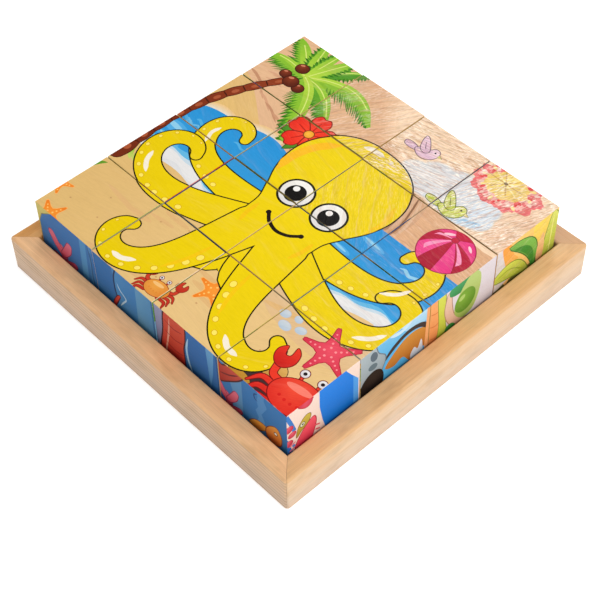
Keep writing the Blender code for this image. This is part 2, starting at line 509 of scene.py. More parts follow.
def turned(x, y, s, turn=0.0, flip=1):
    """A map from a subject's own coordinates to the picture; a third value is a radius."""
    c, n = math.cos(math.radians(turn)), math.sin(math.radians(turn))

    def m(px, py, *more):
        px = px * flip
        return (x + (px * c - py * n) * s, y + (px * n + py * c) * s) + tuple(v * s for v in more)
    return m


def small_bird(add, x, y, s, flip, body, wing, beak, line):
    m = turned(x, y, s, 0, flip)
    add(smooth(m(-0.7, -0.1), m(-1.3, 0.1), m(-1.9, 0.0), m(-1.8, -0.4), m(-1.2, -0.5), m(-0.7, -0.4)), wing, line=line, width=0.3)
    add(smooth(m(-0.9, -0.2), m(-0.4, -0.65), m(0.3, -0.72), m(0.85, -0.3), m(1.0, 0.25), m(0.82, 0.66), m(0.4, 0.72), m(0.1, 0.4), m(-0.4, 0.22)), body, wing, m(0, 0.5), m(0, -0.9), line=line, width=0.3)
    add(smooth(m(0.2, 0.1), m(-0.1, 0.6), m(-0.7, 1.2), m(-1.1, 1.3), m(-1.0, 0.7), m(-0.6, 0.0), m(-0.1, -0.2)), wing, body, m(0, 0), m(-1, 1.2), line=line, width=0.3)
    for t in (0.35, 0.65):
        add(stroke((m(-0.1 - 0.3 * t, 0.1 + 0.2 * t), m(-0.5 - 0.3 * t, 0.45 + 0.5 * t)), 0.22, per=3), line)
    add(poly(m(0.95, 0.42), m(1.36, 0.22), m(0.98, 0.1)), beak, line=line, width=0.24)
    add(ellipse(*m(0.6, 0.36), 0.08 * s), (50, 40, 46))


def beach_ball(add, x, y, r, main, main_dark, other, other_dark, pale, line):
    """Gores that run from a cap near the top of the ball to its rim."""
    px, py = x - 0.10 * r, y + 0.58 * r

    def edge(deg):
        a = math.radians(deg)
        ex, ey = x + r * math.cos(a), y + r * math.sin(a)
        kx, ky = (px + ex) / 2 + 0.34 * (ex - x), (py + ey) / 2 + 0.22 * (ey - y)
        t = np.linspace(0, 1, 12)[:, None]
        return np.array([px, py]) * (1 - t) ** 2 + 2 * t * (1 - t) * np.array([kx, ky]) + t * t * np.array([ex, ey])

    def gore(a0, a1, inset=0.0):
        rim = np.radians(np.linspace(a0, a1, 10)[1:-1])
        arc = np.stack([x + r * np.cos(rim), y + r * np.sin(rim)], 1)
        return [np.vstack([edge(a0), arc, edge(a1)[::-1][:-1]])]

    cuts = (-118, -78, -38, 8, 62, 112, 152, 198, 242)
    add(ellipse(x, y, r), main, main_dark, p0=(x - 0.3 * r, y - 0.1 * r), radius=1.3 * r, line=line, width=0.35)
    for k in range(0, 8, 2):
        add(gore(cuts[k], cuts[k + 1]), other, other_dark, (x, y + r), (x, y - r))
    for a0, a1 in ((-30, -14), (156, 168), (206, 222)):
        t = gore(a0, a1)[0]
        c = np.array([px, py])
        add([c + (t - c) * 0.8], pale)
    for deg in cuts[:-1]:
        add([np.vstack([edge(deg) + (0.09, 0.0), (edge(deg) - (0.09, 0.0))[::-1]])], other_dark)
    add(ellipse(x - 0.42 * r, y + 0.66 * r, 0.2 * r, 0.06 * r, 34), (246, 196, 206))
    add(ellipse(x + 0.52 * r, y + 0.62 * r, 0.16 * r, 0.05 * r, -36), (246, 196, 206))
    add(ellipse(px, py, 0.13 * r), other, line=line, width=0.25)


def plain_crab(add, x, y, s, turn, shell, shell_dark, limb, limb_dark, line, width=0.25):
    m = turned(x, y, s, turn)
    for side in (-1, 1):
        for k in range(3):
            h = -0.10 - 0.24 * k
            add(tube((m(side * 0.6, h, 0.10), m(side * (1.34 - 0.06 * k), h + 0.16 - 0.12 * k, 0.11), m(side * (1.7 - 0.16 * k), h - 0.24 - 0.18 * k, 0.045)), cap=3), limb, limb_dark, m(0, 0.4), m(0, -1.2), line=line, width=width)
        add(tube((m(side * 0.7, 0.22, 0.13), m(side * 1.16, 0.34, 0.13), m(side * 1.28, 0.72, 0.14)), cap=3), limb, line=line, width=width)
        add(smooth(*[m(side * px, py) for px, py in ((1.06, 0.7), (0.84, 1.0), (0.9, 1.42), (1.16, 1.62), (1.16, 1.24), (1.34, 1.2), (1.46, 1.52), (1.68, 1.26), (1.62, 0.92), (1.36, 0.68))], per=5),
            limb, limb_dark, m(side * 1.2, 1.6), m(side * 1.3, 0.5), line=line, width=width)
        add(tube((m(side * 0.3, 0.4, 0.06), m(side * 0.34, 0.82, 0.06)), cap=3), limb, line=line, width=width)
        add(ellipse(*m(side * 0.35, 0.94), 0.17 * s), (232, 228, 224), (206, 200, 204), p0=m(side * 0.33, 1.0)[:2], radius=0.2 * s, line=line, width=width)
        add(ellipse(*m(side * 0.35, 0.94), 0.07 * s), (36, 26, 28))
    add(ellipse(x, y, s, 0.7 * s, turn), shell, shell_dark, p0=m(-0.2, 0.3)[:2], radius=1.2 * s, line=line, width=width)
    add(ellipse(*m(-0.1, 0.34), 0.5 * s, 0.14 * s, turn), tuple(min(255, int(v * 0.75 + 64)) for v in shell))
    for k in range(5):
        add(ellipse(*m(-0.5 + 0.25 * k, -0.18 - 0.1 * math.sin(math.pi * k / 4)), 0.06 * s), shell_dark)


def curling(x, y, heading, length, bend, hook, power, r0, r1, n=30):
    """(x, y, radius) points of a tapering limb that starts nearly straight and curls up at its tip; angles in degrees."""
    t = np.linspace(0, 1, n)
    a = np.radians(heading + bend * t + hook * t**power)
    step = length / (n - 1)
    half = (a[1:] + a[:-1]) / 2
    xs = x + step * np.concatenate([[0], np.cumsum(np.cos(half))])
    ys = y + step * np.concatenate([[0], np.cumsum(np.sin(half))])
    return list(zip(xs, ys, r1 + (r0 - r1) * (1 - t) ** 0.8))


def plain_octopus(add, x, y, skin, skin_dark, sucker, sucker_line, gloss, line, width):
    """An egg-shaped head on eight curling arms, the same on both sides of its middle."""
    upper = curling(6, -10, -2, 70, 4, 265, 3.4, 6.8, 2.0)
    middle = curling(6, -15, -22, 80, -14, 285, 2.9, 7.6, 2.2)
    lower = curling(7, -16, -77, 66, -4, 238, 3.4, 8.6, 2.4)
    inner = ((3, -20, 6.4), (3.6, -30, 5.6), (6.0, -36.6, 4.4), (10.4, -37.4, 3.3), (11.6, -33.6, 2.4))
    half = ((0, 38), (9.6, 36.6), (17.4, 32), (22.4, 24.4), (23.6, 15.6), (21.6, 7), (18, 0), (15.2, -6), (14.6, -12), (13.8, -17), (8, -20), (0, -19.4))
    head = smooth(*[(x + a, y + b) for a, b in half], *[(x - a, y + b) for a, b in half[-2:0:-1]], per=5)

    def arm(points, side, grow=0.0):
        return tube([(x + side * a, y + b, r) for a, b, r in points], grow=grow, per=3, cap=9)

    def cups(points, side, sign, t0, t1, n):
        """Suckers in a row along one edge of an arm."""
        s = spline([(x + side * a, y + b, r) for a, b, r in points], 3)
        d = np.gradient(s[:, :2], axis=0)
        d /= np.linalg.norm(d, axis=1)[:, None]
        for t in np.linspace(t0, t1, n):
            k = int(t * (len(s) - 1))
            q = np.array([-d[k, 1], d[k, 0]]) * sign * side
            c = s[k, :2] + q * s[k, 2] * 0.62
            add(ellipse(c[0], c[1], s[k, 2] * 0.20, s[k, 2] * 0.17, math.degrees(math.atan2(d[k, 1], d[k, 0]))), sucker, line=sucker_line, width=0.22)

    for points, sign, t1, n in ((inner, 1, 0.7, 4), (upper, -1, 0.94, 11), (middle, -1, 0.94, 12)):
        for side in (-1, 1):
            add(arm(points, side, width / 2), line)
            add(arm(points, side, -width / 2), skin, skin_dark, p0=(x, y), radius=60)
            cups(points, side, sign, 0.34, t1, n)
    front = [arm(lower, side, grow) for grow in (width / 2, -width / 2) for side in (-1, 1)]
    add(front[0], line)
    add(front[1], line)
    add(outline(head, width), line)
    add(front[2], skin, skin_dark, p0=(x, y), radius=60)
    add(front[3], skin, skin_dark, p0=(x, y), radius=60)
    for side in (-1, 1):
        cups(lower, side, -1, 0.32, 0.94, 10)
    add([head[0] + (np.array([x, y + 6]) - head[0]) * 0.012], skin, skin_dark, p0=(x, y + 10), radius=60)
    # its own shade, and the gloss of wet skin
    for pts, w, c in (
        (((-20.4, 6), (-21.2, 14), (-18.6, 23), (-13, 30)), 3.4, (242, 182, 30)),
        (((20.8, 6), (21.8, 14), (19.6, 22)), 1.8, (236, 192, 14)),
        (((-12.6, -8), (-12.6, -13), (-11.4, -18)), 1.6, (236, 190, 14)),
        (((12.6, -8), (12.6, -13), (11.4, -18)), 1.6, (236, 190, 14)),
        (((-8.4, -30), (-10.2, -40), (-13.6, -49)), 1.4, (236, 192, 12)),
        (((8.4, -30), (10.2, -40), (13.6, -49)), 1.4, (236, 192, 12)),
    ):
        add(stroke([(x + a, y + b) for a, b in pts], w, taper=True), c)
    for pts, w in (
        (((-7.4, 34.0), (-3.4, 35.4), (0.4, 35.6)), 2.0), (((3.6, 35.2), (4.8, 35.0)), 1.8),
        (((-46.6, -1.6), (-48.6, 2.6), (-48.0, 6.4)), 1.4), (((41.4, -7.6), (45.6, -4.2), (47.8, 0.4)), 1.4),
        (((-49.4, -25.4), (-53.4, -21.6), (-55.4, -17.2)), 1.7), (((48.0, -26.0), (52.4, -22.4), (54.8, -18.0)), 1.7),
        (((-21.0, -52.4), (-25.2, -55.2), (-29.4, -55.4)), 1.9), (((21.0, -52.4), (25.2, -55.2), (29.4, -55.4)), 1.9),
    ):
        add(stroke([(x + a, y + b) for a, b in pts], w, taper=True), gloss)
    # a plain face: two round eyes and a thin curved mouth
    for side in (-1, 1):
        ex, ey = x + side * 7.6, y + 3.4
        add(ellipse(ex, ey, 6.0), (238, 234, 226), (214, 210, 208), (ex, ey + 4), (ex, ey - 6), line=line, width=0.8)
        add(ellipse(ex, ey - 0.4, 3.7), (16, 13, 12))
        add(ellipse(ex - 1.2, ey + 1.2, 1.2), (236, 234, 230))
    add(stroke([(x - 7.4, y - 8.6), (x - 4.2, y - 11.4), (x, y - 12.6), (x + 4.2, y - 11.4), (x + 7.4, y - 8.6)], 1.3), (30, 18, 10))
    for side in (-1, 1):
        add(ellipse(x + side * 7.5, y - 8.6, 0.95), (30, 18, 10))


def beach():
    pic = Picture(paint((226, 184, 132), (231, 190, 128), (0, 60), (0, -30)))
    add = pic.add
    rng = np.random.RandomState(8)
    # ---- dry sand behind the sea, in low dunes
    add(poly((-62, 62), (-62, 8), (62, 8), (62, 62)), (220, 176, 136), (214, 166, 126), (-40, 20), (30, 30))
    # the paler sand on the right is partly the sand's own tone and partly a painted highlight of glare on the varnish
    for k in range(9):  # paler sand to the right, fading in
        t = k / 8.0
        d = 1.3 * k
        g = tuple(np.array((217, 170, 131)) * (1 - t) + np.array((240, 207, 172)) * t)
        add(smooth((-14 + d, 64), (-11 + d, 48), (4 + d, 39 - d * 0.2), (30, 34 - d * 0.2), (64, 32 - d * 0.2), (64, 64)), g)
    slope = [(x, 33.4 - 0.55 * (x + 64) + 1.5 * math.sin((x + 64) / 7)) for x in np.arange(-64, -21, 2.0)]
    add(poly(*slope, (-22, 8), (-64, 2)), (217, 178, 114), (220, 181, 111), (-50, 30), (-50, 10))
    for k in range(7):  # creases that run down the near dune
        x, y = -60 + 5.6 * k, 33.6 - 2.5 * k + rng.uniform(-1, 1)
        add(stroke(((x, y), (x + 4.4, y - 1.2), (x + 8.6 + rng.rand() * 3, y - 4.6)), rng.uniform(0.7, 1.2), taper=True), (190 + 8 * (k % 3), 138 + 8 * (k % 3), 104 + 8 * (k % 3)))
    for k in range(6):
        x, y = rng.uniform(-60, -38), rng.uniform(34, 43)
        add(stroke(((x, y), (x + 4, y + 0.8), (x + 8, y + 0.2)), 0.8, taper=True), (208, 156, 122))
    for k in range(14):
        x, y = rng.uniform(4, 58), rng.uniform(32, 60)
        add(ellipse(x, y, rng.uniform(6, 11), rng.uniform(0.8, 1.3), rng.uniform(6, 24) if x < 14 else rng.uniform(-24, -4)), (240, 207, 170) if k % 2 else (226, 186, 148))
    # a bank in the shade of the dune on the right
    add(ellipse(27.0, 21.5, 5.4, 10.6, 8), (208, 164, 128), (196, 148, 112), (27, 31), (27, 12))
    for k, (w, c) in enumerate(((3.2, (166, 122, 92)), (1.2, (206, 166, 134)), (0.7, (136, 94, 66)), (1.0, (210, 172, 140)))):
        x = 22.4 + 1.5 * k
        add(stroke(((x, 32), (x + 2.6, 25), (x + 4.6, 18), (x + 5.0, 11)), w, taper=True), c)
    # ---- sea
    def shore(x):
        return 11.8 + 3.6 * math.exp(-((x + 28) / 11) ** 2) - 3.6 * math.exp(-((x + 63) / 8) ** 2)

    for k in range(6):  # wet sand along the water
        t = k / 5.0
        up = [(x, shore(x) + 2.6 * (1 - t) * (1 + 0.3 * math.sin(x / 3.0))) for x in np.arange(-62, -22, 2.0)]
        add(poly(*up, (-23, 6), (-62, 0)), tuple(np.array((228, 190, 134)) * (1 - t) + np.array((222, 214, 200)) * t))
    add(poly(*[(x, shore(x)) for x in np.arange(-62, 63, 2.0)], (62, -26), (-62, -26)), (36, 140, 205), (52, 150, 208), (0, 14), (0, -16))
    for k in range(26):  # small waves, closer together towards the sides
        side = -1 if k % 2 else 1
        x, y = side * rng.uniform(46, 57) if k < 18 else rng.uniform(-36, 40), rng.uniform(-13, 7)
        n, w = rng.randint(1, 3), rng.uniform(4.0, 6.0)
        pts = [(x - w * n / 2 + w * i / 4, y + 0.55 * math.sin(math.pi * i / 2)) for i in range(4 * n + 1)]
        add(stroke(pts, rng.uniform(0.6, 1.5), taper=True), ((136, 198, 226), (104, 178, 216), (166, 208, 226), (78, 166, 214))[k % 4])
    for x, y, w, h in ((-41, -15.4, 6, 1.3), (-30, -12.6, 4, 1.2), (30, 5, 5, 1.2), (56, -3.4, 6, 2.2), (24, -3, 4, 1.2), (-55, -4, 6, 2.6), (-53, -9.6, 6, 1.6)):
        add(ellipse(x, y, w, h, -4), (76, 164, 216))
        add(ellipse(x - 0.6, y + 0.3, w * 0.7, h * 0.4, -6), (136, 196, 224))
    # surf along the near shore
    def near(x):
        return -19.6 + 2.2 * math.sin(x / 7.5 + 0.6) + 4.4 * math.exp(-((x + 62) / 9) ** 2)

    xs = np.arange(-63, 64, 2.0)
    for lift, c in ((5.4, (96, 176, 216)), (4.2, (190, 208, 218)), (3.4, (222, 220, 218)), (0.8, (214, 214, 214))):
        add(poly(*[(x, near(x) + lift * (1 + 0.55 * math.exp(-((x + 46) / 13) ** 2)) + 0.7 * math.sin(x / 2.3 + lift)) for x in xs], (64, -40), (-64, -40)), c)
    # ---- wet and dry sand in front
    add(poly(*[(x, near(x) - 0.4) for x in xs], (64, -64), (-64, -64)), (216, 178, 113), (222, 186, 126), (-50, -48), (10, -42))
    add(ellipse(45.0, -32.0, 25.0, 7.6, -2), (216, 184, 142), (216, 178, 128), (45, -25), (45, -39))
    for k in range(12):
        x, y = rng.uniform(-56, 40), rng.uniform(-60, -30)
        add(ellipse(x, y, rng.uniform(5, 10), rng.uniform(0.8, 1.3), rng.uniform(-8, 12)), (216, 174, 116))
    for k in range(16):
        add(ellipse(rng.uniform(-58, 40), rng.uniform(-60, -26), 0.4, 0.3), (196, 150, 98))
    for k in range(7):  # grass at the foot of the palm
        x = -54 + 1.5 * k
        add(leaf(x, -25.4, x - 3.0 + 1.3 * k, -17.6 - abs(k - 3) * 0.9, 1.8, bend=0.5), (122, 176, 40), (190, 206, 100), (x, -18), (x, -25))
    for k in range(4):
        add(leaf(-62, -38 + k, -59.0 + 0.5 * k, -32.6 + 0.4 * k, 1.6), (96, 146, 40))
    for x, y, rx, ry in ((56, 37, 11, 8), (57, 47, 8, 6)):  # redder wood shows through at the corner
        for k in range(6):
            t = k / 5.0
            add(ellipse(x, y, rx * (1 - 0.12 * k), ry * (1 - 0.12 * k)), tuple(np.array((239, 206, 172)) * (1 - t) + np.array((232, 192, 158)) * t))
    # ---- cloud shadow of pale spray over the far dune
    puffs = ((18, 38.6, 7.4, 5.0), (24, 42.6, 8.0, 5.4), (32, 43.6, 9.0, 6.4), (41, 41.4, 8.6, 6.0), (45, 36.6, 5.6, 4.8), (34, 37.0, 13, 6.2), (24, 36.4, 10, 5.0))
    for k in range(5):
        t = k / 4.0
        for x, y, rx, ry in puffs:
            g = tuple(np.array((228, 194, 158)) * (1 - t) + np.array((214, 212, 212)) * t)
            h = tuple(np.array((228, 196, 160)) * (1 - t) + np.array((208, 217, 226)) * t)
            add(ellipse(x, y, rx * (1.12 - 0.14 * t), ry * (1.16 - 0.18 * t)), g, h, (18, 42), (46, 37))
    for k in range(4):
        t = k / 3.0
        add(ellipse(43.6, 38.4, 5.4 - 2.6 * t, 5.4 - 2.4 * t, -28), tuple(np.array((214, 222, 228)) * (1 - t) + np.array((206, 220, 232)) * t))
    for k in range(4):
        t = k / 3.0
        add(stroke(((33.0, 31.2 + 0.5 * k), (41.0, 31.6 + 0.5 * k), (48.2, 34.4 + 0.4 * k)), 3.0 - 0.7 * k, taper=True), tuple(np.array((196, 212, 224)) * (1 - t) + np.array((158, 200, 228)) * t))
    for k in range(4):
        t = k / 3.0
        add(ellipse(22, 40.2, 8.0 - 4.0 * t, 4.0 - 2.2 * t, 20), tuple(np.array((214, 212, 212)) * (1 - t) + np.array((226, 223, 221)) * t))
    # ---- palm: a trunk that swells between its rings
    base = spline(((-59.6, -26, 3.3), (-60.4, -12, 2.5), (-59.8, 2, 2.0), (-57.4, 15, 1.9), (-53.0, 27, 1.8), (-46.0, 40, 1.5)), 9)
    swell = 1 + 0.20 * np.abs(np.sin(np.arange(len(base)) * math.pi / 5.0)) - 0.12
    add(tube([(x, y, r * k) for (x, y, r), k in zip(base, swell)], per=2), (112, 42, 18), (138, 56, 26), (-60, -10), (-48, 34), line=(70, 24, 10), width=0.35)
    for k in range(2, len(base) - 1, 5):
        d = base[k + 1, :2] - base[k - 1, :2]
        a = math.degrees(math.atan2(d[1], d[0])) - 90
        add(ellipse(base[k, 0] + 0.5, base[k, 1] + 0.8, base[k, 2] * 0.42, 1.5, a), (166, 82, 48))
    for k in range(5, len(base) - 1, 5):
        d = base[k + 1, :2] - base[k - 1, :2]
        a = math.degrees(math.atan2(d[1], d[0])) - 90
        add(ellipse(base[k, 0], base[k, 1], base[k, 2] * 0.86, 0.28, a), (70, 24, 10))
    # fronds; each has a bright back and dark leaflets that hang below it
    dark, deep, mid, lime, pale = (74, 142, 28), (50, 112, 20), (130, 182, 46), (180, 210, 66), (206, 222, 112)

    def palm_leaf(angle, reach, droop, over, under, seed, fringe=None, teeth=18, tone=(mid, lime)):
        """From the crown at an angle; droop is how far the tip falls, under how far the leaflets hang."""
        g = np.random.RandomState(seed)
        a = math.radians(angle)
        points = [(-43 + reach * t * math.cos(a), 44.6 + reach * t * math.sin(a) - droop * t**2.2) for t in (0, 0.2, 0.4, 0.6, 0.8, 1.0)]
        c = spline(points, 10)
        d = np.gradient(c, axis=0)
        d /= np.linalg.norm(d, axis=1)[:, None] + 1e-12
        side = np.stack([d[:, 1], -d[:, 0]], 1) * (1 if under > 0 else -1)
        length = len(c)
        for cut, colour, shift in ((1.0, deep, 0.0), (0.88, dark, 0.5), (0.66, tone[0], 0.25)):
            lower = []
            for k in range(teeth):
                t = (k + shift) / teeth
                i = min(length - 1, int(round(t * (length - 1))))
                w = abs(under) * cut * math.sin(math.pi * min(1.0, 0.12 + 0.86 * t) ** 0.9) ** 0.6
                tip = side[i] if fringe is None else np.array(fringe) * 0.65 + side[i] * 0.45
                lower.append(c[i] + side[i] * w * 0.58)
                lower.append(c[i] + (tip + d[i] * 0.45) * w * (0.86 + 0.3 * g.rand()))
            outer = c - side * (over * np.sin(np.pi * np.linspace(0.08, 1.0, length)) ** 0.6)[:, None]
            add([np.vstack([c[:1], np.array(lower), c[-1:], outer[::-1]])], colour)
        back = [(p[0], p[1], max(0.2, over * math.sin(math.pi * (0.15 + 0.8 * i / (len(points) - 1))))) for i, p in enumerate(points)]
        add(tube(back, per=5, cap=3), tone[1], (124, 180, 42), points[0], points[-1])
        add(tube([(p[0], p[1], 0.22) for p in points[:-1]], per=5, cap=2), pale)

    palm_leaf(58, 32, 9, 0.9, 5.0, 11, fringe=(0.25, -1.0), tone=((76, 144, 36), (96, 162, 44)))
    palm_leaf(132, 24, 4, 2.2, -6.2, 12, teeth=15)
    palm_leaf(110, 20, 0, 2.4, -4.4, 13, teeth=11)
    palm_leaf(88, 19, 0, 1.8, -4.0, 14, teeth=11, tone=((116, 174, 40), lime))
    palm_leaf(70, 22, 2, 2.2, 4.6, 15, teeth=12)
    palm_leaf(36, 42, 27, 1.5, 8.4, 16, fringe=(0.12, -1.0), teeth=26)
    palm_leaf(160, 20, 6, 1.3, -6.6, 17, fringe=(-0.1, -1.0), teeth=14)
    palm_leaf(8, 25, 20, 1.5, 7.0, 18, fringe=(-0.6, -0.8), teeth=20, tone=((92, 158, 36), (150, 194, 52)))
    palm_leaf(-18, 19, 22, 1.8, 7.6, 19, fringe=(-0.8, -0.6), teeth=22, tone=((132, 184, 44), (178, 208, 66)))
    for x, y, r in ((-49.4, 41.0, 2.3), (-47.0, 47.0, 2.7), (-40.6, 38.6, 2.4), (-45.0, 39.4, 3.1)):
        add(ellipse(x, y, r, r * 0.92), (140, 58, 30), (84, 28, 12), p0=(x - r * 0.35, y + r * 0.4), radius=r * 1.25, line=(60, 20, 10), width=0.34)
        add(ellipse(x - r * 0.4, y + r * 0.5, r * 0.34, r * 0.18, 24), (196, 120, 88))
    # ---- beach parasol seen from above, worn at its scalloped rim
    px, py = 40.9, 55.4
    a = np.arange(88) * 2 * math.pi / 88

    def oval(r0, wob, seed, jag=0.0):
        g = np.random.RandomState(seed)
        rr = r0 * (1 + wob * np.sin(a * 11 + seed)) + jag * g.uniform(-1, 1, len(a))
        skew = 1 + 0.20 * np.cos(a + 0.75)
        return [np.stack([px + rr * skew * np.cos(a), py + rr * skew * 0.74 * np.sin(a)], 1)]

    add(oval(13.0, 0.06, 1, 0.6), (222, 62, 72), (228, 104, 106), p0=(px, py), radius=14)
    add(oval(11.0, 0.06, 2, 0.6), (238, 158, 150))
    for k in range(44):
        b = 2 * math.pi * k / 44 + 0.05
        r0 = (8.6, 9.6, 10.8, 9.0)[k % 4] + rng.uniform(-0.4, 0.4)
        c = ((220, 44, 54), (242, 214, 120), (244, 200, 186), (226, 92, 96))[(k * 3 + k // 5) % 4]
        skew = 1 + 0.20 * math.cos(b + 0.75)
        add(ellipse(px + r0 * skew * math.cos(b), py + r0 * skew * 0.74 * math.sin(b), 0.95 + 0.3 * rng.rand(), 0.62, math.degrees(b) + rng.uniform(-20, 20)), c)
    add(oval(8.0, 0.05, 3, 0.35), (243, 219, 104), (238, 200, 96), p0=(px, py), radius=8.0)
    for k in range(12):
        b = 2 * math.pi * k / 12
        add(stroke(((px, py), (px + 3.8 * math.cos(b), py + 2.8 * math.sin(b)), (px + 7.4 * math.cos(b), py + 5.4 * math.sin(b))), 0.5, taper=True), ((206, 160, 70), (250, 232, 160))[k % 2])
    add(ellipse(px, py, 0.8, 0.6), (112, 84, 44))
    # ---- two small birds
    small_bird(add, 12.4, 47.6, 4.6, 1, (230, 198, 212), (214, 172, 196), (206, 206, 80), (108, 84, 96))
    small_bird(add, 36.0, 34.0, 5.0, 1, (206, 214, 92), (184, 196, 62), (222, 206, 110), (84, 96, 26))
    # ---- a red flower with its leaves
    fx, fy = -21.0, 25.4
    for deg in (200, 262, 30):
        b = math.radians(deg)
        add(leaf(fx, fy, fx + 11.5 * math.cos(b), fy + 11.5 * math.sin(b), 4.2, bend=0.8), (96, 160, 44), (60, 124, 30), (fx, fy), (fx + 11 * math.cos(b), fy + 11 * math.sin(b)), line=(40, 84, 24), width=0.35)
    for k in range(5):
        b = math.radians(96 + 72 * k)
        u, v = np.array([math.cos(b), math.sin(b)]), np.array([-math.sin(b), math.cos(b)])
        c = np.array([fx, fy])
        petal = [c + u * p * 9.2 + v * q * 9.2 for p, q in ((0.06, 0.0), (0.34, 0.27), (0.72, 0.40), (1.0, 0.22), (0.95, 0.0), (1.0, -0.22), (0.72, -0.40), (0.34, -0.27))]
        add(smooth(*[tuple(p) for p in petal], per=5), (240, 66, 40), (220, 38, 26), p0=(fx, fy), radius=10, line=(130, 26, 14), width=0.4)
        add(tube((tuple(c + u * 2.2) + (0.24,), tuple(c + u * 6.2) + (0.14,)), cap=2), (176, 26, 16))
    add(ellipse(fx, fy, 1.9), (250, 196, 70), (232, 150, 40), p0=(fx, fy), radius=2.0, line=(120, 50, 12), width=0.35)
    # ---- on the sand
    for x, y, r, rot in ((9.6, -43.4, 6.6, 100), (-52.4, -60.6, 6.4, 70), (-61.4, -48.6, 5.2, 20)):
        add(star(x, y, r * 1.07, inner=0.47, rot=rot), (236, 174, 96))
        add(star(x, y, r, inner=0.44, rot=rot), (240, 150, 54), (232, 122, 34), p0=(x, y), radius=6)
        for k in range(5):
            b = math.radians(rot + 72 * k)
            for d in (0.26, 0.48, 0.70):
                add(ellipse(x + r * d * math.cos(b), y + r * d * math.sin(b), 0.42 - 0.2 * d), (246, 190, 100))
    plain_crab(add, -3.4, -55.4, 4.6, 6, (228, 160, 68), (214, 128, 48), (196, 58, 38), (176, 40, 26), (130, 36, 20), 0.22)
    for x, y, rx, ry, rot in ((31.4, -33.6, 1.8, 1.5, 10), (36.0, -32.4, 1.5, 1.2, -20), (39.6, -35.0, 1.9, 1.4, 16), (34.6, -37.0, 2.4, 1.6, -8)):
        add(ellipse(x, y, rx, ry, rot), (202, 206, 208), (170, 188, 204), (x, y + ry), (x, y - ry), line=(176, 186, 200), width=0.22)
    # ---- rocks in the corner, with a pink starfish and a red crab
    for x, y, rx, ry, c, c2 in (
        (51.5, -61.5, 14.0, 9.0, (66, 46, 46), (50, 34, 36)), (39.6, -62.8, 6.6, 5.0, (184, 134, 44), (160, 104, 36)),
        (45.0, -50.6, 4.2, 3.6, (214, 170, 92), (190, 134, 60)), (61.0, -63.0, 6.6, 4.2, (214, 214, 214), (190, 190, 196)),
    ):
        stone = [(1 + 0.07 * math.sin(2.1 * k + x), math.radians(40 * k)) for k in range(9)]
        add(smooth(*[(x + rx * w * math.cos(b), y + ry * w * math.sin(b)) for w, b in stone]), c, c2, (x, y + ry), (x, y - ry), line=(60, 44, 34), width=0.25)
    # ---- in the middle
    plain_octopus(add, 4.0, 0.0, (233, 204, 5), (226, 196, 5), (244, 222, 96), (208, 162, 8), (238, 228, 206), INK, 0.5)
    sx, sy, sr, rot = 51.6, -34.6, 9.4, 118
    add(star(sx, sy, sr, inner=0.42, rot=rot), (228, 78, 96), (206, 50, 72), p0=(sx, sy + 1), radius=9, line=(170, 34, 54), width=0.3)
    for k in range(5):
        b = math.radians(rot + 72 * k)
        for d in (0.2, 0.38, 0.56, 0.74):
            add(ellipse(sx + sr * d * math.cos(b), sy + sr * d * math.sin(b), 0.46 - 0.2 * d), (240, 140, 144))
    plain_crab(add, 57.0, -53.6, 9.4, 8, (232, 76, 52), (206, 32, 26), (226, 54, 36), (184, 22, 22), (112, 12, 16), 0.3)
    beach_ball(add, 47.6, 19.6, 9.6, (232, 74, 140), (220, 48, 120), (188, 22, 58), (160, 14, 44), (240, 144, 184), (150, 18, 60))
    return pic.freeze()


# ================================================================ the five other pictures (side and bottom faces)
def at(cx, cy, points):
    return [tuple([p[0] + cx, p[1] + cy] + list(p[2:])) for p in points]


def fish(add, x, y, r, c, c2, turn=0.0, line=(40, 50, 70)):
    a = math.radians(turn)

    def m(px, py):
        return (x + (px * math.cos(a) - py * math.sin(a)) * r, y + (px * math.sin(a) + py * math.cos(a)) * r)

    add(smooth(m(-0.7, 0), m(-1.7, 0.75), m(-1.5, 0), m(-1.7, -0.75)), c2, line=line, width=0.3)
    add(smooth(m(-0.1, 0.4), m(0.1, 1.0), m(-0.5, 0.8)), c2, line=line, width=0.3)
    add(ellipse(x, y, r, r * 0.6, turn), c, c2, p0=m(0.3, 0.2), radius=r * 1.1, line=line, width=0.35)
    for d in (-0.35, 0.0):
        add(stroke((m(d, 0.5), m(d + 0.12, 0), m(d, -0.5)), 0.12 * r, taper=True), c2)
    add(ellipse(*m(0.58, 0.14), r * 0.14), (245, 245, 240), line=line, width=0.2)
    add(ellipse(*m(0.6, 0.14), r * 0.06), (30, 30, 40))


def weed(add, x, y, h, c, c2, seed):
    rng = np.random.RandomState(seed)
    for k in range(3):
        dx = (k - 1) * h * 0.22
        sway = (rng.rand() - 0.5) * h * 0.3
        add(tube(((x + dx * 0.4, y, h * 0.07), (x + dx + sway, y + h * 0.5, h * 0.08), (x + dx * 1.4, y + h * (0.8 + 0.2 * rng.rand()), h * 0.05)), cap=4), c, c2, (x, y), (x, y + h), line=(30, 70, 60), width=0.25)


def flower(add, x, y, r, c, c2, petals=5, rot=0.0):
    for k in range(petals):
        b = math.radians(rot + 360 * k / petals)
        add(ellipse(x + r * 0.58 * math.cos(b), y + r * 0.58 * math.sin(b), r * 0.46, r * 0.34, math.degrees(b)), c, line=(110, 60, 60), width=0.22)
    add(ellipse(x, y, r * 0.3), c2, line=(120, 80, 30), width=0.22)


def ground_cell(add, cx, cy, c0, c1, p0=(0, 15), p1=(0, -15)):
    add(poly((cx - 15, cy - 15), (cx + 15, cy - 15), (cx + 15, cy + 15), (cx - 15, cy + 15)), c0, c1, (cx + p0[0], cy + p0[1]), (cx + p1[0], cy + p1[1]))


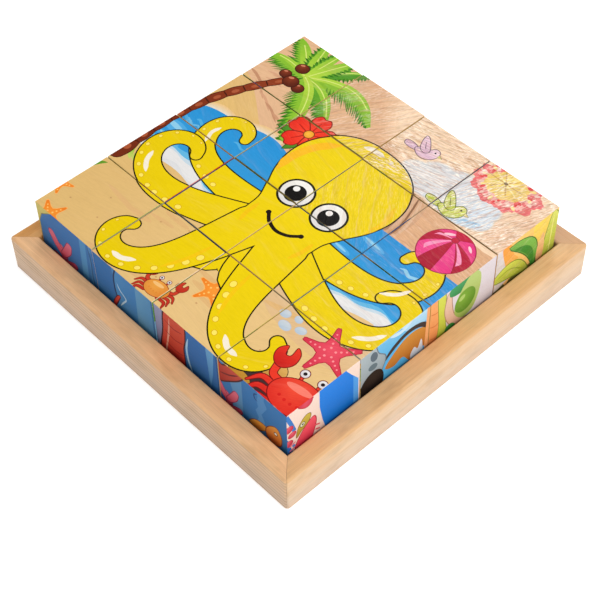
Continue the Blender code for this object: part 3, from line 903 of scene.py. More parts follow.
def coral(add, cx, cy, k=1.0):
    c, c2, line = (244, 118, 138), (226, 74, 100), (150, 60, 90)
    for pts in (((0, -7, 1.7), (0.6, -3, 1.6), (-0.6, 0.6, 1.3)), ((0.4, -3, 1.5), (-2.6, 0.6, 1.7), (-4.6, 4.2, 1.6)), ((0.6, -2, 1.4), (3.2, 1.6, 1.7), (4.4, 4.4, 1.4)),
                ((1.4, -6, 1.4), (4.8, -4.4, 1.6), (6.2, -3.4, 1.2)), ((-0.6, -7, 1.4), (-3.4, -5.6, 1.3), (-4.6, -5.4, 1.0))):
        add(tube([(cx + x * k, cy + y * k, r * k) for x, y, r in pts], cap=5), c, c2, (cx, cy + 4 * k), (cx, cy - 6 * k), line=line, width=0.3)


def reef():
    pic = Picture(paint((78, 138, 194), (60, 112, 172), (0, 60), (0, -60)))
    add = pic.add
    rng = np.random.RandomState(11)
    for k in range(9):  # rays of light
        x = -58 + k * 14 + rng.rand() * 5
        add(poly((x, 62), (x + 4 + 3 * rng.rand(), 62), (x - 4, -62), (x - 9, -62)), (88, 150, 202))
    add(smooth((-64, -50), (-40, -46), (-15, -52), (10, -46), (40, -50), (64, -46), (64, -66), (-64, -66)), (226, 204, 130), (206, 172, 96), (0, -46), (0, -62))
    for k in range(14):
        fish(add, rng.uniform(-54, 54), rng.uniform(-34, 54), rng.uniform(3, 6.5), *((((248, 166, 60), (232, 112, 44)), ((244, 214, 70), (226, 150, 40)), ((226, 92, 110), (190, 50, 80)))[k % 3]), turn=rng.uniform(-20, 20) + 180 * (k % 2))
    for k in range(8):
        weed(add, -54 + 15 * k + rng.rand() * 5, -56 + 3 * rng.rand(), rng.uniform(14, 24), (70, 150, 80), (140, 196, 90), k)
    for k in range(6):
        coral(add, -48 + 20 * k, -44 + 4 * rng.rand(), 1.2)
    for k in range(26):
        add(ellipse(rng.uniform(-58, 58), rng.uniform(-40, 58), rng.uniform(0.4, 1.2)), (196, 226, 242))
    blue, pale = (60, 122, 184), (88, 154, 202)
    # a corner of the reef with a sandy bank and coral
    cx, cy = -45, -45
    ground_cell(add, cx, cy, blue, (66, 122, 180))
    add(poly(*at(cx, cy, [(8.4, 15.2), (11.6, 15.2), (9.6, -15.2), (6.4, -15.2)])), pale)
    add(poly(*at(cx, cy, [(13.0, 15.2), (14.0, 15.2), (12.6, -15.2), (11.6, -15.2)])), (84, 146, 198))
    add(stroke(at(cx, cy, [(12.6, 15), (13.4, 8), (13.0, 0), (13.8, -8)]), 0.7, taper=True), (52, 100, 140))
    add([np.array(at(cx, cy, [(-15.2, 15.2), (-6.4, 15.2), (-8.6, 13.8), (-12.4, 11.2), (-14.3, 7), (-14.8, -4), (-15.2, -15.2)]))], (232, 208, 108), (222, 190, 84), (cx - 14, cy + 14), (cx - 14, cy - 6), line=(150, 140, 70), width=0.35)
    coral(add, cx - 3.4, cy + 1.0, 1.05)
    # the flank of a big dark-edged fish
    cx, cy = 15, -15
    ground_cell(add, cx, cy, (50, 116, 178), (56, 120, 180))
    add(smooth(*at(cx, cy, [(-4, 17), (-4.6, 8), (-4.2, 0), (-6.4, -8), (-2, -17), (8, -17), (8, 17)])), (78, 146, 200), (66, 134, 192), (cx - 4, cy), (cx + 6, cy))
    add(poly(*at(cx, cy, [(6.6, 15.2), (15.2, 15.2), (15.2, -15.2), (5.4, -15.2)])), (104, 164, 202), (86, 146, 190), (cx + 6, cy), (cx + 15, cy))
    add(stroke(at(cx, cy, [(-3.0, 16), (-4.6, 11), (-4.8, 5), (-4.0, 0), (-6.2, -4), (-8.4, -9)]), 0.75), (32, 58, 92))
    add(stroke(at(cx, cy, [(-3.4, 9), (-2.0, 6.4), (0.6, 4.0), (-1.2, 1.0), (-3.0, -1.8)]), 0.6, taper=True), (198, 224, 238))
    add(smooth(*at(cx, cy, [(-4.0, 2.4), (-2.4, 2.8), (-4.8, -2.0), (-6.0, -4.6), (-6.8, -2.6)])), (226, 70, 58), line=(90, 40, 50), width=0.35)
    add(poly(*at(cx, cy, [(14.2, 15.2), (15.2, 15.2), (15.2, -15.2), (13.8, -15.2)])), (62, 116, 160))
    # a red striped fin between blue and violet
    cx, cy = -15, 15
    ground_cell(add, cx, cy, (54, 116, 180), (50, 110, 174))
    add(poly(*at(cx, cy, [(-15.2, 15.2), (-9.6, 15.2), (-11.8, 4), (-14.0, -6), (-15.2, -10)])), (160, 158, 186), (120, 116, 150), (cx - 14, cy + 12), (cx - 14, cy - 6))
    add(smooth(*at(cx, cy, [(-9.4, 17), (-0.8, 17), (-0.2, 10), (-1.4, 4), (-1.4, -4), (-2, -17), (-16, -17), (-13.6, -4), (-11.6, 5)])), (228, 84, 58), (206, 56, 44), (cx - 6, cy + 14), (cx - 6, cy - 6), line=(70, 36, 44), width=0.65)
    add(stroke(at(cx, cy, [(-7.4, 14), (-8.6, 6), (-10.6, -3), (-12, -9)]), 0.75, taper=True), (248, 168, 140))
    for t in (11.4, 6.2, 0.6):
        add(stroke(at(cx, cy, [(-10.8, t), (-6, t - 1.2), (-1.6, t)]), 0.45, taper=True), (168, 40, 38))
    add(stroke(at(cx, cy, [(1.2, 11.6), (0.0, 6), (0.4, 0), (2.0, -5)]), 0.9, taper=True), (176, 214, 236))
    add(poly(*at(cx, cy, [(9.6, 15.2), (13.4, 15.2), (12.2, 4), (10.6, -4)])), (110, 170, 212), (78, 140, 194), (cx + 11, cy + 15), (cx + 11, cy - 3))
    add(stroke(at(cx, cy, [(14.4, 15.2), (14.6, 4), (14.4, -12)]), 0.5), (50, 92, 140))
    # coral, a small orange fish and the tip of the red fin
    cx, cy = 45, -45
    ground_cell(add, cx, cy, (60, 128, 188), (56, 122, 182))
    add(poly(*at(cx, cy, [(-9.2, 15.2), (-4.6, 15.2), (-4.8, -15.2), (-9.2, -15.2)])), (102, 156, 196), (92, 150, 196), (cx, cy + 15), (cx, cy - 4))
    add(poly(*at(cx, cy, [(2.4, 15.2), (5.4, 15.2), (4.6, -15.2), (1.0, -15.2)])), (88, 148, 200))
    add(smooth(*at(cx, cy, [(-16, 16), (-13.6, 13.6), (-9.4, 16.4), (-3.8, 16), (-5.6, 12.6), (-10.2, 8.2), (-14.8, 4.8), (-16, 8)])), (214, 78, 60), (184, 54, 44), (cx - 8, cy + 14), (cx - 14, cy + 6), line=(84, 40, 44), width=0.6)
    add(stroke(at(cx, cy, [(-14.6, 9.0), (-10.0, 11.4), (-6.0, 14.6)]), 0.6, taper=True), (120, 40, 40))
    coral(add, cx - 11.6, cy + 0.2, 0.9)
    add(smooth(*at(cx, cy, [(-2.0, -3.6), (0.6, -0.2), (4.2, 1.0), (6.6, 0.2), (5.0, -2.0), (1.6, -4.4)])), (250, 176, 66), (236, 140, 50), (cx, cy + 1), (cx + 2, cy - 4), line=(120, 84, 60), width=0.35)
    add(smooth(*at(cx, cy, [(5.6, 0.0), (7.6, 3.2), (10.6, 4.8), (12.6, 1.6), (12.0, -3.0), (8.6, -4.6), (6.0, -3.4)])), (250, 164, 70), (226, 110, 44), (cx + 8, cy + 4), (cx + 9, cy - 4), line=(120, 70, 50), width=0.35)
    add(ellipse(cx + 10.0, cy + 1.4, 0.7), (250, 240, 220), line=(80, 50, 40), width=0.25)
    add(stroke(at(cx, cy, [(2.6, 13.8), (1.0, 12.6), (1.2, 10.8), (2.4, 10.2)]), 0.5, taper=True), (40, 70, 120))
    # painted shade: this picture's colours are set a little darker than the top picture's
    return pic.freeze((0.90, 0.92, 0.94))


def rock_pool():
    pic = Picture(paint((250, 226, 202), (244, 206, 176), (0, 60), (0, -60)))
    add = pic.add
    rng = np.random.RandomState(5)
    add(smooth((-64, 10), (-40, 22), (-10, 14), (20, 24), (64, 16), (64, -20), (30, -10), (-10, -24), (-64, -12)), (44, 134, 222), (30, 112, 206), (0, 20), (0, -20))
    for k in range(7):
        x, y = -52 + k * 17 + rng.rand() * 4, 2 + rng.uniform(-8, 10)
        add(stroke(((x, y), (x + 5, y + 1.4), (x + 10, y)), 1.1, taper=True), (140, 200, 240))
    for k in range(12):
        x, y = rng.uniform(-54, 54), (-1) ** k * rng.uniform(30, 54)
        if k % 3 == 0:
            add(star(x, y, rng.uniform(5, 8), rot=rng.uniform(0, 72)), (236, 84, 96), (214, 60, 80), p0=(x, y), radius=7, line=(160, 40, 60), width=0.35)
        elif k % 3 == 1:
            add(ellipse(x, y, 5, 3.6, rng.uniform(-20, 20)), (250, 206, 120), (236, 168, 80), p0=(x, y + 2), radius=5, line=(150, 100, 50), width=0.35)
            for d in (-2.4, 0, 2.4):
                add(stroke(((x + d, y + 3), (x + d * 0.4, y - 3)), 0.4), (190, 130, 70))
        else:
            add(ellipse(x, y, 5.4, 4.2), (170, 170, 178), (132, 134, 146), (x, y + 4), (x, y - 4), line=(90, 90, 100), width=0.35)
    # a pink crayfish beside a bright blue pool
    cx, cy = -45, -45
    ground_cell(add, cx, cy, (250, 222, 206), (248, 210, 196))
    add(poly(*at(cx, cy, [(-1.8, 15.2), (9.0, 15.2), (11.6, 11), (14.4, 7.0), (14.6, -15.2), (2.6, -15.2), (1.4, -8), (-0.6, 0), (-1.8, 7.4)])), (36, 130, 226), (26, 116, 212), (cx + 4, cy + 15), (cx + 8, cy - 6))
    add(poly(*at(cx, cy, [(12.2, 10.2), (14.4, 7.0), (14.6, -15.2), (12.6, -15.2)])), (84, 160, 232))
    add(stroke(at(cx, cy, [(-15, 14.6), (-13.4, 10), (-12.0, 5.2)]), 1.5), (60, 124, 198))
    add(stroke(at(cx, cy, [(-15.6, 3), (-14.2, -3), (-12.2, -9)]), 1.7), (48, 112, 190))
    add(stroke(at(cx, cy, [(-13.2, -0.4), (-11.0, -4.6)]), 1.0), (96, 150, 206))
    red, dark = (240, 78, 96), (206, 44, 66)
    for x, y in ((-10.2, 12.8), (-7.6, 11.6), (-5.4, 9.0), (-4.0, 6.0), (-3.4, 2.6)):
        add(ellipse(x, y, 2.0, 1.5, 40), (236, 108, 120), dark, p0=(x, y + 1), radius=2.4, line=(180, 40, 60), width=0.25)
    add(tube(at(cx + 0, cy + 0, [(-9.2, 15.0, 1.1), (-6.6, 13.6, 1.5), (-5.2, 14.8, 1.0)]), cap=4), (232, 92, 110), dark, p0=(cx - 7, cy + 14), radius=3, line=(180, 40, 60), width=0.25)
    for x, y, r in ((-14.4, 7.6, 1.9), (-13.0, 4.2, 1.6), (-14.6, 0.8, 1.8)):
        add(ellipse(cx + x, cy + y, r, r * 0.8), (242, 112, 126), dark, p0=(cx + x, cy + y + 1), radius=2.4, line=(190, 50, 70), width=0.25)
    add(smooth(*at(cx, cy, [(-12.0, -3.4), (-9.8, 1.0), (-6.6, 4.4), (-4.0, 5.4), (-3.2, 2.0), (-5.0, -4.2), (-8.0, -9), (-11.4, -9)])), (246, 88, 104), (226, 54, 78), (cx - 8, cy + 4), (cx - 6, cy - 6), line=(180, 36, 56), width=0.35)
    add(smooth(*at(cx, cy, [(-11.4, 1.0), (-10.4, 5.6), (-7.6, 8.6), (-5.4, 8.0), (-6.0, 5.2), (-9.2, 2.6)])), (206, 178, 70), (180, 146, 50), (cx - 8, cy + 8), (cx - 9, cy + 2), line=(130, 90, 40), width=0.3)
    add(ellipse(cx - 8.8, cy + 5.4, 1.0), (240, 236, 200), line=(90, 60, 40), width=0.25)
    add(ellipse(cx - 8.7, cy + 5.4, 0.42), (40, 30, 30))
    for t in (-1.2, -3.4, -5.6):
        add(stroke(at(cx, cy, [(-14.4, t), (-11.6, t + 0.9)]), 0.7, taper=True), (240, 120, 134))
        add(stroke(at(cx, cy, [(-3.8, t + 1.6), (-1.6, t + 0.4)]), 0.7, taper=True), (232, 84, 100))
    # painted shade: this picture's colours are set a little darker than the top picture's
    return pic.freeze((0.93, 0.94, 0.94))


def hillside():
    pic = Picture(paint((104, 188, 236), (176, 222, 246), (0, 60), (0, -10)))
    add = pic.add
    rng = np.random.RandomState(23)
    for k in range(7):
        x, y = rng.uniform(-50, 50), rng.uniform(22, 54)
        add(smooth((x - 8, y - 2), (x - 6, y + 2), (x - 1, y + 4), (x + 4, y + 3), (x + 8, y), (x + 5, y - 3), (x - 3, y - 3)), (240, 242, 246), (216, 228, 240), (x, y + 4), (x, y - 3))
    add(smooth((-64, 4), (-40, 14), (-14, 6), (10, 16), (36, 8), (64, 14), (64, -66), (-64, -66)), (120, 184, 76), (82, 150, 56), (0, 10), (0, -60))
    add(smooth((-20, -66), (-12, -30), (0, -8), (8, 2), (14, 2), (8, -14), (6, -34), (14, -66)), (240, 200, 130), (222, 172, 98), (0, 0), (0, -60))
    for k in range(16):
        flower(add, rng.uniform(-56, 56), rng.uniform(-56, -4), rng.uniform(2.2, 4.0), *((((246, 120, 150), (250, 220, 90)), ((250, 240, 240), (246, 190, 60)), ((150, 120, 210), (250, 220, 90)))[k % 3]), petals=5 + k % 2, rot=20 * k)
    # a grey boulder, a brown bank and a dark hollow under the sky
    cx, cy = -15, -15
    ground_cell(add, cx, cy, (116, 190, 232), (84, 176, 230), (0, 15), (0, 6))
    add(smooth(*at(cx, cy, [(3, 17), (4, 12.4), (8, 9.8), (12, 9.6), (16, 12), (16, 17)])), (182, 218, 240), (150, 204, 236), (cx + 8, cy + 15), (cx + 8, cy + 9))
    add(stroke(at(cx, cy, [(-2.6, 14.6), (2.4, 13.4), (7, 14.8)]), 1.6, taper=True), (202, 226, 242))
    add(smooth(*at(cx, cy, [(-4.4, 1.4), (0, 6), (4.8, 8.6), (9.6, 8.6), (13.6, 6.4), (16, 2), (16, -4), (11.4, -1.6), (10.6, -5), (6.6, -4.0), (3.4, 0.2), (-0.6, -1.0)])), (206, 138, 58), (186, 112, 44), (cx + 6, cy + 8), (cx + 6, cy - 4))
    add(stroke(at(cx, cy, [(-6.4, 3.6), (-1.4, 8.0), (4.6, 10.6), (10.0, 10.0), (13.4, 7.6), (15.4, 3.8)]), 2.0, taper=True), (62, 52, 50))
    add(smooth(*at(cx, cy, [(-16, 17), (-9.6, 17), (-7.4, 11.6), (-4.4, 8.0), (-5.0, 3.6), (-9, -3), (-16, -6)])), (170, 182, 188), (146, 158, 166), (cx - 12, cy + 14), (cx - 8, cy - 2), line=(110, 122, 134), width=0.4)
    add(ellipse(cx - 9.4, cy + 11.4, 1.5, 2.4, 16), (92, 106, 118))
    add(ellipse(cx - 9.8, cy + 6.8, 2.0, 1.5, -20), (100, 116, 124))
    add(ellipse(cx - 10.4, cy - 2.8, 5.4, 7.4, -14), (52, 40, 34), (34, 26, 24), p0=(cx - 9, cy), radius=7)
    add(smooth(*at(cx, cy, [(7.6, -7), (7.0, -2.0), (8.6, 0.6), (10.2, -1.2), (11.6, 2.2), (12.4, -1.4), (12.4, -7)])), (222, 222, 230), (188, 204, 224), (cx + 9, cy + 1), (cx + 9, cy - 6))
    add(poly(*at(cx, cy, [(13.6, 15.2), (15.2, 15.2), (15.2, -15.2), (13.0, -15.2), (13.4, 2)])), (244, 168, 108))
    # painted shade: this picture's colours are set a little darker than the top picture's
    return pic.freeze((0.95, 0.95, 0.94))


def orchard():
    pic = Picture(paint((252, 224, 150), (248, 200, 110), (0, 60), (0, -60)))
    add = pic.add
    rng = np.random.RandomState(31)
    for k in range(26):
        x, y, a = rng.uniform(-56, 56), rng.uniform(-56, 56), rng.uniform(0, 6.28)
        ln = rng.uniform(9, 17)
        c = ((104, 170, 56), (196, 206, 70), (72, 142, 50))[k % 3]
        add(leaf(x, y, x + ln * math.cos(a), y + ln * math.sin(a), ln * 0.4, bend=ln * 0.12), c, tuple(int(v * 0.8) for v in c), (x, y), (x + ln * math.cos(a), y + ln * math.sin(a)), line=(60, 100, 40), width=0.35)
        add(stroke(((x, y), (x + ln * 0.5 * math.cos(a) - 0.1 * ln * math.sin(a), y + ln * 0.5 * math.sin(a) + 0.1 * ln * math.cos(a)), (x + ln * 0.9 * math.cos(a), y + ln * 0.9 * math.sin(a))), 0.35, taper=True), (60, 110, 44))
    for k in range(12):
        x, y = rng.uniform(-54, 54), rng.uniform(-54, 54)
        add(ellipse(x, y, 4.4), (248, 150, 60), (226, 90, 40), p0=(x - 1.4, y + 1.6), radius=5.6, line=(140, 60, 30), width=0.4)
        add(ellipse(x - 1.5, y + 1.8, 1.0, 0.7), (255, 220, 170))
    # a bough with a round green fruit on a pale ground
    cx, cy = -15, 15
    ground_cell(add, cx, cy, (226, 216, 222), (218, 206, 212))
    add(poly(*at(cx, cy, [(-15.2, 15.2), (-10.8, 15.2), (-9.8, 4), (-10.6, -15.2), (-15.2, -15.2)])), (246, 168, 104), (238, 146, 82), (cx - 13, cy + 14), (cx - 13, cy - 6))
    for t in (9, 3, -3):
        add(stroke(at(cx, cy, [(-15, t + 1), (-12.4, t), (-10.4, t + 0.8)]), 0.5, taper=True), (222, 122, 66))
    add(smooth(*at(cx, cy, [(-11.8, 16), (-8.6, 16), (-8.0, 8), (-7.4, 0), (-6, -8), (-9, -16), (-11.4, -8), (-10.8, 2)])), (214, 216, 84), (188, 198, 60), (cx - 9, cy + 14), (cx - 9, cy - 6), line=(140, 150, 50), width=0.3)
    add(tube(at(cx, cy, [(-6.6, 13.0, 1.1), (-6.6, 6.4, 1.8), (-5.0, 0.6, 1.8), (-1.6, -3.6, 1.8), (4, -7, 1.6)]), cap=4), (234, 196, 172), (220, 170, 142), (cx - 6, cy + 12), (cx, cy - 5), line=(180, 130, 104), width=0.35)
    add(smooth(*at(cx, cy, [(-5, 16), (-6.4, 12), (-2, 10.2), (3, 11.6), (6.6, 16)])), (64, 158, 96), (48, 132, 70), (cx - 2, cy + 15), (cx - 1, cy + 10))
    add(smooth(*at(cx, cy, [(0.4, 13), (4.0, 15.6), (7.6, 13), (8.0, 6), (5.6, -1.6), (1.0, -3.4), (-3.0, 0.4), (-3.4, 6)])), (186, 204, 120), (160, 184, 88), (cx + 4, cy + 13), (cx, cy - 2))
    add(ellipse(cx + 1.2, cy + 4.8, 4.8, 5.2), (132, 176, 62), (94, 142, 40), p0=(cx, cy + 6.6), radius=6.6)
    add(ellipse(cx - 0.4, cy + 6.8, 1.5, 1.1, 30), (178, 206, 110))
    add(smooth(*at(cx, cy, [(-7.4, -2.6), (-4.8, -1.8), (-2.6, -4.4), (-4.4, -8), (-7.4, -7)])), (64, 148, 62), (50, 126, 52), (cx - 6, cy - 2), (cx - 4, cy - 7))
    # painted shade: this picture's colours are set a little darker than the top picture's
    return pic.freeze((0.95, 0.95, 0.94))


def jungle():
    pic = Picture(paint((252, 208, 110), (250, 180, 92), (-60, 60), (60, -60)))
    add = pic.add
    rng = np.random.RandomState(47)
    for k in range(22):
        x, y, a = rng.uniform(-58, 58), rng.uniform(-58, 58), rng.uniform(0, 6.28)
        ln = rng.uniform(14, 26)
        c = ((88, 160, 58), (200, 206, 74), (58, 128, 66), (150, 190, 70))[k % 4]
        add(leaf(x, y, x + ln * math.cos(a), y + ln * math.sin(a), ln * 0.36, bend=ln * 0.14), c, tuple(int(v * 0.82) for v in c), (x, y), (x + ln * math.cos(a), y + ln * math.sin(a)), line=(70, 110, 40), width=0.35)
        for d in (0.3, 0.5, 0.7):
            add(stroke(((x + ln * d * math.cos(a), y + ln * d * math.sin(a)), (x + ln * (d + 0.12) * math.cos(a + 0.2), y + ln * (d + 0.12) * math.sin(a + 0.2))), 0.4, taper=True), (226, 228, 130))
    for k in range(8):
        flower(add, rng.uniform(-52, 52), rng.uniform(-52, 52), rng.uniform(4, 6), (236, 84, 90), (250, 220, 90), petals=6, rot=11 * k)
    # broad leaves against a warm light
    cx, cy = 45, 15
    ground_cell(add, cx, cy, (253, 204, 112), (250, 188, 96))
    add(smooth(*at(cx, cy, [(4, 17), (12, 17), (14, 8), (8, 4), (3, 9)])), (250, 216, 84), (252, 206, 96), (cx + 8, cy + 14), (cx + 8, cy + 5))
    add(smooth(*at(cx, cy, [(-17, 17), (-12.4, 16), (-10.4, 8), (-7.6, 2), (-9, -2), (-17, -2)])), (226, 216, 214), (222, 208, 196), (cx - 14, cy + 14), (cx - 12, cy))
    add(smooth(*at(cx, cy, [(-12.6, 16), (-8.6, 14.6), (-6.6, 9), (-4.0, 5), (-8.8, 3.4), (-11.0, 8)])), (250, 162, 62), (248, 176, 80), (cx - 10, cy + 14), (cx - 6, cy + 5))
    add(poly(*at(cx, cy, [(-15.2, -3.6), (15.2, -2.6), (15.2, -15.2), (-15.2, -15.2)])), (120, 112, 44), (86, 84, 34), (cx, cy - 2), (cx, cy - 8))
    add(leaf(cx - 17.0, cy + 1.8, cx + 2.4, cy - 5.4, 7.4, bend=3.4), (214, 218, 86), (176, 190, 50), (cx - 6, cy + 5), (cx - 6, cy - 3), line=(120, 140, 40), width=0.4)
    add(stroke(at(cx, cy, [(-14.6, 1.6), (-7.6, 2.4), (-0.6, -2.4)]), 0.45, taper=True), (150, 166, 50))
    add(leaf(cx - 9.4, cy + 13.4, cx + 4.4, cy - 6.6, 6.6, bend=5.0), (126, 186, 74), (74, 146, 46), (cx + 1, cy + 8), (cx - 4, cy + 2), line=(60, 110, 40), width=0.4)
    add(leaf(cx - 6.6, cy + 10.6, cx + 3.6, cy - 6.0, 3.0, bend=3.6), (62, 138, 44))
    add(smooth(*at(cx, cy, [(8.4, -8), (8.6, 0), (9.8, 8), (12.2, 15.4), (15.2, 12), (16.4, 4), (16, -6), (12, -12)])), (218, 218, 92), (186, 200, 62), (cx + 12, cy + 14), (cx + 12, cy - 6), line=(130, 150, 50), width=0.4)
    add(stroke(at(cx, cy, [(12.6, 13.2), (12.4, 6), (12.2, -6)]), 0.5, taper=True), (236, 230, 130))
    add(smooth(*at(cx, cy, [(5.8, 3), (8.0, 8.4), (9.2, 2), (8.6, -5), (6.0, -4)])), (246, 196, 132), (240, 180, 116), (cx + 7, cy + 8), (cx + 7, cy - 3))
    # painted shade: this picture's colours are set a little darker than the top picture's
    return pic.freeze((0.95, 0.95, 0.95))


# ================================================================ materials
class Nodes:
    """Short calls that build a node tree."""

    def __init__(self, name):
        self.mat = bpy.data.materials.new(name)
        self.mat.use_nodes = True
        self.tree = self.mat.node_tree
        self.shader = self.tree.nodes["Principled BSDF"]

    def node(self, kind, **props):
        n = self.tree.nodes.new(kind)
        for k, v in props.items():
            setattr(n, k, v)
        return n

    def link(self, a, b):
        self.tree.links.new(a, b)

    def set(self, **values):
        for k, v in values.items():
            self.shader.inputs[k.replace("_", " ")].default_value = v

    def put(self, socket, value):
        if isinstance(value, bpy.types.NodeSocket):
            self.link(value, socket)
        else:
            socket.default_value = value

    def math(self, op, a, b=0.0, c=0.0, clamp=False):
        n = self.node("ShaderNodeMath", operation=op, use_clamp=clamp)
        for s, v in zip(n.inputs, (a, b, c)):
            self.put(s, v)
        return n.outputs[0]

    def vec(self, op, a, b=(0, 0, 0)):
        n = self.node("ShaderNodeVectorMath", operation=op)
        self.put(n.inputs[0], a)
        self.put(n.inputs[1], b)
        return n.outputs[0]

    def attribute(self, name, output="Vector"):
        n = self.node("ShaderNodeAttribute", attribute_name=name)
        return n.outputs[output]

    def noise(self, vector, scale=1.0, detail=2.0, rough=0.5, distort=0.0):
        n = self.node("ShaderNodeTexNoise")
        self.put(n.inputs["Vector"], vector)
        n.inputs["Scale"].default_value = scale
        n.inputs["Detail"].default_value = detail
        n.inputs["Roughness"].default_value = rough
        n.inputs["Distortion"].default_value = distort
        return n.outputs["Fac"]

    def ramp(self, value, stops, smooth=False):
        n = self.node("ShaderNodeValToRGB")
        n.color_ramp.interpolation = "EASE" if smooth else "LINEAR"
        els = n.color_ramp.elements
        while len(els) < len(stops):
            els.new(0.5)
        for e, (p, c) in zip(els, stops):
            e.position = p
            e.color = c if len(c) == 4 else tuple(c) + (1.0,)
        self.put(n.inputs[0], value)
        return n.outputs[0]

    def grey(self, value, stops):
        return self.ramp(value, [(p, (v, v, v, 1.0)) for p, v in stops])

    def mix(self, fac, a, b, blend="MIX"):
        n = self.node("ShaderNodeMix", data_type="RGBA", blend_type=blend)
        self.put(n.inputs[0], fac)
        self.put(n.inputs[6], a)
        self.put(n.inputs[7], b)
        return n.outputs[2]

    def bump(self, height, strength, distance, normal=None):
        n = self.node("ShaderNodeBump")
        n.inputs["Strength"].default_value = strength
        n.inputs["Distance"].default_value = distance
        self.put(n.inputs["Height"], height)
        if normal is not None:
            self.link(normal, n.inputs["Normal"])
        return n.outputs[0]


def printed_wood():
    """A colour print under clear varnish on planed pine: the grain shows in the colour and in the gloss, and pale
    glints along the grain are painted into the colour.

    The wood attribute holds millimetres in the cube's own timber: x along the grain, y and z across it.
    The relief attribute says how strongly the cube's grain stands out, and how strong the painted glints are, from 0 to
    1.
    """
    m = Nodes("varnished_print")
    wood = m.attribute("wood")
    relief = m.attribute("relief", "Fac")
    colour = m.attribute("print", "Color")
    slow = m.noise(m.vec("MULTIPLY", wood, (0.02, 0.09, 0.09)), 1.0, 2.0, 0.5)
    # growth rings, bent slowly along the grain
    sep = m.node("ShaderNodeSeparateXYZ")
    m.link(wood, sep.inputs[0])
    radius = m.math("SQRT", m.math("ADD", m.math("POWER", sep.outputs[1], 2.0), m.math("POWER", sep.outputs[2], 2.0)))
    # closer rings where the grain stands out
    close = m.math("MULTIPLY_ADD", m.math("POWER", relief, 2.0), 0.66, 0.12)
    uneven = m.noise(m.vec("MULTIPLY", wood, (0.11, 0.42, 0.42)), 1.0, 3.0, 0.6)
    ring = m.math("ADD", radius, m.math("MULTIPLY", slow, 9.0))
    ring = m.math("MULTIPLY", m.math("ADD", ring, m.math("MULTIPLY", uneven, 3.4)), close)
    saw = m.math("FRACT", ring)
    late = m.grey(saw, ((0.0, 0.05), (0.50, 0.15), (0.84, 1.0), (0.94, 0.9), (1.0, 0.05)))
    rim = m.grey(saw, ((0.0, 0.0), (0.78, 0.0), (0.91, 1.0), (1.0, 0.0)))
    # fibres, coarse and fine
    fibre = m.noise(m.vec("MULTIPLY", wood, (0.16, 1.35, 1.35)), 1.0, 3.0, 0.62)
    fine = m.noise(m.vec("MULTIPLY", wood, (0.50, 4.0, 4.0)), 1.0, 2.0, 0.6)
    patch = m.noise(m.vec("MULTIPLY", wood, (0.05, 0.16, 0.16)), 1.0, 2.0, 0.5)
    # the late wood comes and goes along the grain
    broken = m.noise(m.vec("MULTIPLY", wood, (0.30, 0.9, 0.9)), 1.0, 2.0, 0.6)
    late = m.math("MULTIPLY", late, m.grey(broken, ((0.36, 0.30), (0.58, 1.0))))
    # darker, browner late wood under the thin ink
    tone = m.node("ShaderNodeRGBToBW")
    m.link(colour, tone.inputs[0])
    open_ink = m.grey(tone.outputs[0], ((0.02, 0.02), (0.45, 1.0)))
    c1 = m.mix(m.math("MULTIPLY", m.math("MULTIPLY", late, m.math("POWER", relief, 1.3)), m.math("MULTIPLY", open_ink, 0.86)), colour, m.mix(0.72, colour, rgba((178, 104, 56))))
    amount = m.math("MULTIPLY_ADD", relief, 0.9, 0.10)
    dull = m.grey(fibre, ((0.34, 0.80), (0.52, 1.0), (0.70, 1.08)))
    c2 = m.mix(amount, c1, m.mix(1.0, c1, dull, "MULTIPLY"))
    tint = m.grey(fine, ((0.34, 0.84), (0.54, 1.0), (0.72, 1.08)))
    c2 = m.mix(amount, c2, m.mix(1.0, c2, tint, "MULTIPLY"))
    # painted glints: pale flecks and lines along the grain stand in for light caught in the varnish
    painted_glint = m.grey(fine, ((0.53, 0.0), (0.63, 1.0)))
    painted_glint = m.math("MULTIPLY", m.math("MULTIPLY", painted_glint, m.grey(patch, ((0.34, 0.0), (0.56, 1.0)))), m.math("POWER", relief, 2.2))
    line = m.math("MULTIPLY", m.math("MULTIPLY", rim, m.grey(fibre, ((0.42, 0.2), (0.62, 1.0)))), m.math("MULTIPLY", m.math("POWER", relief, 1.6), 0.85))
    c3 = m.mix(m.math("MULTIPLY", m.math("MAXIMUM", painted_glint, line), open_ink), c2, rgba((250, 240, 224)))
    # worn edges, where the varnish and ink rub through to bare wood
    worn = m.attribute("worn", "Fac")
    rub = m.noise(m.vec("MULTIPLY", wood, (0.35, 0.35, 0.35)), 1.0, 4.0, 0.65)
    bare = m.math("MULTIPLY", worn, m.grey(rub, ((0.54, 0.0), (0.68, 1.0))))
    c4 = m.mix(m.math("MULTIPLY", bare, 0.8), c3, rgba((214, 184, 140)))
    m.link(c4, m.shader.inputs["Base Color"])
    # gloss
    r = m.grey(fibre, ((0.3, 0.34), (0.7, 0.46)))
    m.link(m.math("ADD", r, m.math("MULTIPLY", bare, 0.25)), m.shader.inputs["Roughness"])
    m.set(Coat_Roughness=0.10, Coat_IOR=1.5, Specular_IOR_Level=0.04)
    # the varnish is thicker where the grain stands out
    gloss = m.math("MULTIPLY_ADD", m.math("POWER", relief, 2.0), 0.22, 0.015)
    m.link(m.math("MULTIPLY", gloss, m.grey(fibre, ((0.3, 0.6), (0.6, 1.0)))), m.shader.inputs["Coat Weight"])
    height = m.math("ADD", m.math("MULTIPLY", fibre, 0.8), m.math("MULTIPLY", late, 0.5))
    height = m.math("ADD", height, m.math("MULTIPLY", fine, 0.55))
    height = m.math("MULTIPLY", height, m.math("MULTIPLY_ADD", relief, 0.85, 0.15))
    m.link(m.bump(height, 0.6, 0.00012), m.shader.inputs["Normal"])
    m.link(m.bump(height, 0.8, 0.00018), m.shader.inputs["Coat Normal"])
    return m.mat


